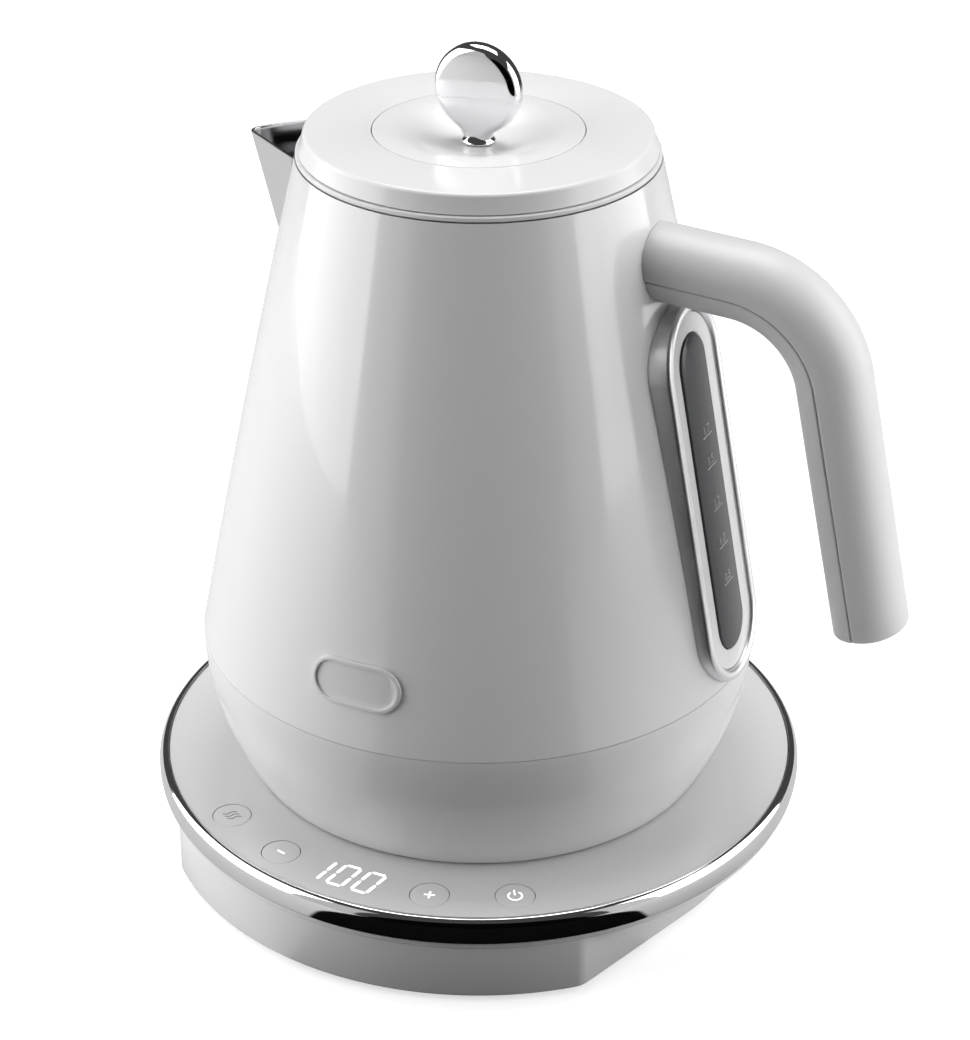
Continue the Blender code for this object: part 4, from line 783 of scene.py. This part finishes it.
def screw_shape(centre, head_z, length):
    """A pan-head screw that points up, its head pierced by a cross recess."""
    top = head_z + HEAD_HEIGHT
    body = solid("screw", turned([
        (0, head_z), (HEAD_R, head_z, 0.4), (HEAD_R, top), (SHANK_R, top),
        (SHANK_R, top + length - SHANK_R, 0.2), (0, top + length),
    ], 40, centre))
    for quarter in (0, 90):
        blade = bmesh.new()
        bmesh.ops.create_cube(blade, size=1.0)
        bmesh.ops.scale(blade, verts=blade.verts, vec=(3.6, 0.8, 1.6))
        turn = Matrix.Rotation(math.radians(quarter), 3, "Z")
        bmesh.ops.rotate(blade, verts=blade.verts, cent=(0, 0, 0), matrix=turn)
        bmesh.ops.translate(blade, verts=blade.verts, vec=(*centre, head_z))
        carve(body, "DIFFERENCE", solid("recess", blade))
    body.data.materials.append(steel)
    return body


for i, centre in enumerate(screw_places):
    screw = screw_shape(centre, COVER_Z - 0.3, 8.0)
    screw.name = f"foot_screw_{i + 1}"
    settle(screw, "jug", "stainless", f"cover_screw_{i + 1}")
for i, angle in enumerate((0, 120, 240)):
    screw = screw_shape(on_circle(81.0, angle), 1.8, 11.0)
    screw.name = f"plate_screw_{i + 1}"
    settle(screw, "base", "stainless", f"base_screw_{i + 1}")


# ---- feet ----
# Four soft black rubber pads glued into pockets in the bottom plate.

rubber = grained("black_rubber", (0.02, 0.02, 0.02), (0.035, 0.035, 0.035), 0.7, scale=700.0, strength=0.3)
for i, angle in enumerate((45, 135, 225, 315)):
    pad = turned([(0, 0.02), (6.0, 0.02, 0.6), (6.0, 2.2), (0, 2.2)], 48, on_circle(72.0, angle))
    settle(solid(f"foot_pad_{i + 1}", pad, rubber), "base", "rubber", f"base_foot_{i + 1}")


# ---- floor of the jug ----
# A pressed stainless plate with a slight brushed finish, over the heating element.

brushed = metal("brushed_floor", (0.52, 0.52, 0.53), 0.26, 0.12, fineness=1.6, depth=0.08)
plate = solid("jug_floor", turned([(0, 69.0), (81.4, 69.0), (81.4, 70.5, 0.5), (0, 70.5)], 128), brushed)
probe_hole = solid("probe_hole", turned([(0, 60), (2.8, 60), (2.8, 80), (0, 80)], 40, (29.0, 0.0)))
carve(plate, "DIFFERENCE", probe_hole)
settle(plate, "jug", "stainless", "element_plate")


# ---- spout ----
# Polished stainless folded to a V, its lip dressed thin and its keel soldered to the shell.

polished = metal("polished_spout", (0.66, 0.66, 0.67), 0.09, 0.05, depth=0.02)
spout = spout_wedge("spout_sheet", 0.0, 1.0)
spout.data.materials.append(polished)
carve(spout, "DIFFERENCE", spout_wedge("spout_hollow", SPOUT_WALL, 1.2), body_trim(0.15))
shape = bmesh.new()
shape.from_mesh(spout.data)
rise = (SPOUT_ROOT_Z - SPOUT_TIP_Z) / (SPOUT_REACH - SPOUT_ROOT)


def on_lip(edge):
    return all(abs(v.co.z / MM - SPOUT_TIP_Z - rise * (v.co.x / MM + SPOUT_REACH)) < 0.02 for v in edge.verts)


soften(shape, 0.22 * MM, 2, 35, on_lip)
shape.to_mesh(spout.data)
shape.free()
settle(spout, "jug", "polished_steel", "spout")


# ---- strainer ----
# A thin stainless plate behind the pouring hole, pierced all over with small holes that catch scale.

STRAINER_W, STRAINER_H, STRAINER_T, HOLES_ACROSS = 36.0, 36.0, 0.8, 15

dark_steel = metal("strainer_steel", (0.42, 0.42, 0.43), 0.3, 0.1)
shape = bmesh.new()
bmesh.ops.create_grid(shape, x_segments=HOLES_ACROSS, y_segments=HOLES_ACROSS, size=STRAINER_W / 2)
cells = [f for f in shape.faces if max(abs(f.calc_center_median().x), abs(f.calc_center_median().y)) < 16.5]
bmesh.ops.inset_individual(shape, faces=cells, thickness=0.5)
corners = list({v for f in cells for v in f.verts})
bmesh.ops.bevel(shape, geom=corners, offset=0.35, segments=1, profile=0.5, affect="VERTICES", material=-1)
holes = [f for f in shape.faces if len(f.verts) == 8]
bmesh.ops.delete(shape, geom=holes, context="FACES_ONLY")
bmesh.ops.solidify(shape, geom=shape.faces, thickness=STRAINER_T)
loose = [v for v in shape.verts if not v.link_faces]
bmesh.ops.delete(shape, geom=loose, context="VERTS")
low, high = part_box("strainer")
middle = (low + high) / 2 / MM
lean = math.degrees(math.atan(body_radius(205) - body_radius(206)))
bmesh.ops.translate(shape, verts=shape.verts, vec=(0, 0, STRAINER_T / 2 - max(v.co.z for v in shape.verts)))
stand = Matrix.Rotation(math.radians(lean), 4, "Y") @ Matrix.Rotation(math.radians(90), 4, "Y")
bmesh.ops.transform(shape, verts=shape.verts, matrix=Matrix.Translation(middle) @ stand)
face_out(shape)
settle(solid("pierced_strainer", shape, dark_steel), "jug", "stainless", "strainer")


# ---- handle ----
# Satin white ABS in two mouldings, a rounded back and a squarer finger side, that meet in a fine seam. It
# runs out level from below the rim, bends down and leans in towards its free end.

HALF_W, HALF_D, SPLIT = 12.8, 10.8, 2.2
BEND_X, BEND_Z, BEND_R, ARM_SLOPE, LEAN, GRIP = 82.2, 176.2, 32.8, 3.0, 12.0, 80.4
END_ROUND, SEAM_ROUND = 2.0, 0.35

satin_white = grained(
    "satin_white_plastic", (0.72, 0.72, 0.725), (0.76, 0.76, 0.765), 0.34, scale=2200.0, strength=0.05,
)


def grip_section(low, high, steps, inset=0.0):
    """The grip's outline between two depths, shrunk by inset. Corners at the seam are rounded."""
    width, depth = HALF_W - inset, HALF_D - inset
    low, high = max(low, -depth), min(high, depth)
    start = low if low == -depth else low + SEAM_ROUND
    stop = high if high == depth else high - SEAM_ROUND
    first, last = math.asin(start / depth), math.asin(stop / depth)
    half = []
    for i in range(steps + 1):
        y = depth * math.sin(first + (last - first) * i / steps)
        power = 2.0 if y > 0 else 2.7
        half.append((width * max(0.0, 1 - abs(y / depth) ** power) ** (1 / power), y))
    if start > low:
        x = half[0][0]
        half = [(x - SEAM_ROUND, low), (x - 0.3 * SEAM_ROUND, low + 0.3 * SEAM_ROUND), *half]
    if stop < high:
        x = half[-1][0]
        half += [(x - 0.3 * SEAM_ROUND, high - 0.3 * SEAM_ROUND), (x - SEAM_ROUND, high)]
    return half + [(-x, y) for x, y in reversed(half) if x > 1e-3]


def grip_place(x, z, degrees):
    """Where a section stands: X sideways, Y away from the fingers and Z on along the handle."""
    a = math.radians(degrees)
    out = Vector((math.cos(a), 0, math.sin(a)))
    turn = Matrix(((0, out.x, out.z), (1, 0, 0), (0, out.z, -out.x)))
    return Matrix.Translation((x, 0, z)) @ turn.to_4x4()


first = 90 - ARM_SLOPE
bend = [first + (LEAN - first) * i / 40 for i in range(41)]
places = [grip_place(x, z, a) for a, (x, z) in zip(bend, arc((BEND_X, BEND_Z), BEND_R, first, LEAN, 40))]
start_x = body_radius(RIM_Z) - 6
slope = math.radians(ARM_SLOPE)
arm_x = places[0].translation.x
arm_z = places[0].translation.z
for share in (0.35, 0.7, 1.0):
    x = arm_x + (start_x - arm_x) * share
    places.insert(0, grip_place(x, arm_z + (arm_x - x) * math.tan(slope), first))
lean = math.radians(LEAN)
knee = places[-1].translation
for share in (0.2, 0.4, 0.6, 0.8, 1.0):
    run = GRIP * share
    places.append(grip_place(knee.x + math.sin(lean) * run, knee.z - math.cos(lean) * run, LEAN))


def lofted(sections):
    """A closed shape through sections of equally many points, each drawn on from the one before."""
    shape = bmesh.new()
    loop = [shape.verts.new(point) for point in sections[0]]
    edges = shape.faces.new(loop).edges[:]
    for section in sections[1:]:
        made = bmesh.ops.extrude_edge_only(shape, edges=edges)["geom"]
        fresh = {v for v in made if isinstance(v, bmesh.types.BMVert)}
        edges = [e for e in made if isinstance(e, bmesh.types.BMEdge)]
        loop = [next(e.other_vert(v) for e in v.link_edges if e.other_vert(v) in fresh) for v in loop]
        for v, point in zip(loop, section):
            v.co = point
    shape.faces.new(loop)
    face_out(shape)
    return shape


def handle_half(name, low, high, steps):
    """One moulding swept along the handle, its foot drawn in to a rounded edge, trimmed to the body."""
    whole = grip_section(low, high, steps)
    stations = [(place, whole) for place in places[:-1]]
    for i in range(7):
        a = math.radians(15 * i)
        back = Matrix.Translation((0, 0, END_ROUND * (math.sin(a) - 1)))
        stations.append((places[-1] @ back, grip_section(low, high, steps, END_ROUND * (1 - math.cos(a)))))
    shape = lofted([[place @ Vector((x, y, 0)) for x, y in section] for place, section in stations])
    return carve(solid(name, shape, satin_white), "DIFFERENCE", body_trim(0.15))


settle(handle_half("handle_back", -SPLIT, HALF_D, 36), "jug", "satin_white", "handle_shell")
settle(handle_half("handle_front", -HALF_D, -SPLIT - 0.3, 12), "jug", "satin_white", "handle_insert")


# ---- water window ----
# A smoked lens under the handle in a flat white frame, with a satin chromed bezel round it. White level lines
# and litres are printed on the inside of the lens.

FRAME_IN, FRAME_OUT, BEZEL_IN, BEZEL_OUT = LENS_HALF + 0.3, LENS_HALF + 6.4, LENS_HALF + 6.7, LENS_HALF + 10.1

smoked, tree, shader = new_material("smoked_lens")
shader.inputs["Base Color"].default_value = (0.05, 0.052, 0.056, 1.0)
shader.inputs["IOR"].default_value = 1.49
shader.inputs["Specular IOR Level"].default_value = 0.28
shader.inputs["Transmission Weight"].default_value = 0.0
skin = node(tree, "ShaderNodeGroup", node_tree=peel, Scale=150.0, Amount=0.5)
level = node(tree, "ShaderNodeMapRange", Value=skin.outputs["Haze"], To_Min=0.07, To_Max=0.13)
tree.links.new(level.outputs["Result"], shader.inputs["Roughness"])
bump = node(tree, "ShaderNodeBump", Strength=0.03, Distance=0.0004, Height=skin.outputs["Height"])
tree.links.new(bump.outputs["Normal"], shader.inputs["Normal"])

glass = soften(raised(window_outline(LENS_HALF), -6.5, 0.0), 0.4, 3)
settle(solid("smoked_window", at_window(glass), smoked), "jug", "smoked_window", "window_lens")


def window_band(name, outer, inner, high, low, edge, material):
    """A long ring standing on the body: the outer outline less the inner one, its upper edges rounded."""
    thing = solid(name, raised(window_outline(outer), low, high), material)
    carve(thing, "DIFFERENCE", solid("middle", raised(window_outline(inner), low - 5, high + 5)))
    shape = bmesh.new()
    shape.from_mesh(thing.data)
    bmesh.ops.scale(shape, verts=shape.verts, vec=(1 / MM, 1 / MM, 1 / MM))
    bmesh.ops.dissolve_limit(shape, angle_limit=0.01, verts=shape.verts, edges=shape.edges)
    soften(shape, edge, 4, 60, lambda e: all(v.co.z > high - 0.01 for v in e.verts))
    bpy.data.objects.remove(thing)
    thing = solid(name, at_window(shape), material)
    return carve(thing, "DIFFERENCE", body_trim(0.15))


frame_white = gloss("frame_white_plastic", (0.80, 0.80, 0.805), 0.2)
bezel_chrome = metal("satin_chrome", (0.84, 0.84, 0.85), 0.36, 0.08)
surround = window_band("window_surround", FRAME_OUT, FRAME_IN, -0.5, -13, 0.35, frame_white)
settle(surround, "jug", "gloss_white", "window_frame")
bezel = window_band("window_rim", BEZEL_OUT, BEZEL_IN, 0.9, -13, 1.5, bezel_chrome)
settle(bezel, "jug", "chrome", "window_bezel")

ink_white = grained("printed_marks", (0.36, 0.36, 0.365), (0.42, 0.42, 0.425), 0.5)
litre_heights = {"0.8": 107.3, "1.0": 119.4, "1.2": 131.8, "1.5": 145.5, "1.7": 155.3}
marks = bmesh.new()
for words, z in litre_heights.items():
    up = (z - WINDOW_Z) / math.cos(tilt)
    tick = raised([(-1.2, up - 0.2), (5.4, up - 0.2), (5.4, up + 0.2), (-1.2, up + 0.2)], 0.0, MARK_LIFT)
    part = bpy.data.meshes.new("tick")
    tick.to_mesh(part)
    tick.free()
    marks.from_mesh(part)
    letters = bpy.data.curves.new("number", "FONT")
    letters.body = words
    letters.size = 3.8
    letters.extrude = 0.04
    letters.align_x = "CENTER"
    number = bpy.data.objects.new("number", letters)
    scene.collection.objects.link(number)
    flat = bpy.data.meshes.new_from_object(number.evaluated_get(bpy.context.evaluated_depsgraph_get()))
    bpy.data.objects.remove(number)
    flat.transform(Matrix.Translation((1.6, up + 0.9, MARK_LIFT)))
    marks.from_mesh(flat)
bmesh.ops.remove_doubles(marks, verts=marks.verts, dist=1e-4)
settle(solid("level_marks", at_window(marks), ink_white), "jug", "smoked_window")


# ---- badge ----
# A blank pill of white plastic stuck low on the front, with a raised rim round a sunk field.

BADGE_Z, BADGE_W, BADGE_H, BADGE_T, BADGE_RIM = 96.0, 14.75, 7.25, 1.2, 1.4

slope = math.atan(body_radius(BADGE_Z - 0.5) - body_radius(BADGE_Z + 0.5))
axes = Matrix(((1, 0, 0), (0, math.sin(slope), -math.cos(slope)), (0, math.cos(slope), math.sin(slope))))
badge_place = Matrix.Translation((0, -body_radius(BADGE_Z), BADGE_Z)) @ axes.to_4x4()


def pill(name, inset, low, high, material=None):
    outline = [(y, x) for x, y in stadium(BADGE_H - inset, BADGE_W - inset)]
    shape = raised(outline, low, high)
    bmesh.ops.transform(shape, matrix=badge_place, verts=shape.verts)
    face_out(shape)
    return solid(name, shape, material)


badge_white = gloss("badge_white_plastic", (0.74, 0.74, 0.745), 0.3)
badge = pill("badge_rim", 0.0, -6, 6, badge_white)
carve(badge, "INTERSECT", body_trim(BADGE_T))
well = pill("badge_well", BADGE_RIM, -8, 8)
carve(badge, "DIFFERENCE", body_trim(0.15), carve(well, "DIFFERENCE", body_trim(BADGE_T - 0.8)))
shape = bmesh.new()
shape.from_mesh(badge.data)
bmesh.ops.remove_doubles(shape, verts=shape.verts, dist=2e-6)
soften(shape, 0.25 * MM, 2, 50)
shape.to_mesh(badge.data)
shape.free()
settle(badge, "jug", "gloss_white", "badge")


# ---- lid ----
# Two glossy white mouldings: an outer cover with a crisp shoulder, and a middle disc dished round the knob.
# A hairline joint shows between them. Underneath hangs the grey plug with its silicone seal.

LID_EDGE_R, LID_EDGE_Z, LID_SHOULDER_R, LID_TOP, LID_ROUND = 53.4, 235.3, 52.0, 241.0, 1.2
DISC_R, DIMPLE_R, DIMPLE_FLOOR, DIMPLE_DEPTH, LID_WALL = 31.4, 26.0, 9.0, 4.0, 2.0

lid_white = gloss("lid_white_plastic", (0.84, 0.84, 0.845), 0.2)
corner = (LID_SHOULDER_R - LID_ROUND, LID_TOP - LID_ROUND)
under = LID_TOP - LID_WALL
cover = turned([
    (LID_EDGE_R, LID_EDGE_Z, 0.4), *arc(corner, LID_ROUND, 0, 90, 14),
    (DISC_R + 0.3, LID_TOP, 0.12), (DISC_R + 0.3, under),
    (LID_SHOULDER_R - LID_WALL, under), (LID_EDGE_R - LID_WALL, LID_EDGE_Z),
])
settle(solid("lid_outer", cover, lid_white), "lid", "gloss_white", "lid_cover")

dish = []
for i in range(25):
    t = i / 24
    dip = DIMPLE_DEPTH * (1 - math.cos(math.pi * t)) / 2
    dish.append((DIMPLE_R + (DIMPLE_FLOOR - DIMPLE_R) * t, LID_TOP - dip))
low = LID_TOP - DIMPLE_DEPTH
disc = turned([
    (DISC_R, under), (DISC_R, LID_TOP, 0.12), *dish, (1.8, low), (1.8, low - LID_WALL),
    *[(r, z - LID_WALL) for r, z in reversed(dish)],
])
settle(solid("lid_middle", disc, lid_white), "lid", "gloss_white", "lid_disc")

plug_grey = grained("grey_lid_plastic", (0.42, 0.42, 0.43), (0.47, 0.47, 0.48), 0.36)
PLUG_R = SLEEVE_R - 2.0
plug_low, plug_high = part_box("lid_plug")
foot, brim = plug_low.z / MM, plug_high.z / MM
boss = low - LID_WALL - 0.3
plug = turned([
    (3.7, foot, 0.3), (PLUG_R, foot, 1.0), (PLUG_R, brim), (PLUG_R - 1.5, brim), (PLUG_R - 1.5, foot + 1.5),
    (5.2, foot + 1.5), (5.2, boss), (1.8, boss), (1.8, foot + 1.9), (3.7, foot + 1.9),
])
settle(solid("lid_cup", plug, plug_grey), "lid", "gloss_white", "lid_plug")

silicone = grained("grey_silicone", (0.30, 0.30, 0.31), (0.36, 0.36, 0.37), 0.55, scale=900.0)
seal = turned([
    (PLUG_R + 1.7, foot + 2.0, 0.6), (PLUG_R + 1.7, foot + 5.0, 0.6),
    (PLUG_R + 0.3, foot + 5.0), (PLUG_R + 0.3, foot + 2.0),
])
settle(solid("lid_lip_seal", seal, silicone), "lid", "silicone", "lid_seal")


# ---- knob ----
# A cast and chromed paddle standing on the lid, flat faced with a rounded edge, that runs down through
# hollow curves into its neck. A screw from inside the lid holds it.

KNOB_R, KNOB_HALF, KNOB_NECK, KNOB_FILLET, KNOB_ROUND = 13.7, 3.4, 4.1, 4.0, 2.7
KNOB_RISE = 16.4
knob_z = low + KNOB_RISE

across = KNOB_NECK + KNOB_FILLET
drop = math.sqrt((KNOB_R + KNOB_FILLET) ** 2 - across**2)
meet = math.degrees(math.atan2(-drop, across))
foot_y = 0.6 - KNOB_RISE
loops = []
for i in range(18):  # a quarter round in nine loops at each face, with the straight side between
    turn = math.radians((i if i < 9 else i - 1) * 90 / 8)
    inset = KNOB_ROUND * (1 - math.sin(turn))
    z = math.copysign(KNOB_HALF - KNOB_ROUND, i - 8.5) - KNOB_ROUND * math.cos(turn)
    rise = arc((across, -drop), KNOB_FILLET + inset, 180, 180 + meet, 10)
    top = arc((0, 0), KNOB_R - inset, meet, 180 - meet, 72)
    half = [(KNOB_NECK - inset, foot_y), *rise]
    outline = half + top[1:-1] + [(-x, y) for x, y in reversed(half)]
    loops.append([(x, y, z) for x, y in outline])
shape = lofted(loops)
bmesh.ops.rotate(shape, verts=shape.verts, cent=(0, 0, 0), matrix=Matrix.Rotation(math.radians(90), 3, "X"))
bmesh.ops.translate(shape, verts=shape.verts, vec=(0, 0, knob_z))
face_out(shape)
knob_chrome = metal("knob_chrome", (0.82, 0.82, 0.83), 0.045, 0.03, depth=0.01)
knob = solid("knob_paddle", shape, knob_chrome)
foot_disc = turned([
    (0, low + 0.3), (5.2, low + 0.3, 0.2), (5.2, low + 0.8, 0.3), (4.3, low + 1.7, 0.5),
    (3.2, low + 2.6), (0, low + 2.6),
], 64)
carve(knob, "UNION", solid("knob_foot", foot_disc))
settle(knob, "lid", "chrome", "knob", angle=40)

screw = screw_shape((0.0, 0.0), foot + 0.5, 16.0)
screw.name = "lid_screw"
settle(screw, "lid", "stainless", "knob_screw")


# ---- pieces that stay hidden inside ----
# The board, relay, switches, element and the rest keep their modelled shapes and get real finishes.

board_green = grained("green_laminate", (0.015, 0.09, 0.035), (0.03, 0.14, 0.055), 0.35, scale=500.0)
cast = metal("cast_aluminium", (0.62, 0.62, 0.64), 0.4, 0.15, depth=0.2)
finishes = {
    "base_bottom_plate": gloss_white, "control_board": board_green, "power_board": board_green,
    "display_module": black_plastic, "power_relay": black_plastic, "cord_gland": rubber,
    "switch_keep_warm": black_plastic, "switch_minus": black_plastic, "switch_plus": black_plastic,
    "switch_power": black_plastic, "floor_seal": silicone, "window_gasket": silicone, "heat_spreader": cast,
    "heating_element": steel, "jug_control": black_plastic, "temperature_probe": steel,
    "handle_bracket": steel, "handle_screw": steel,
}
for name, material in finishes.items():
    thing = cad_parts[name]
    thing.data.materials.clear()
    thing.data.materials.append(material)
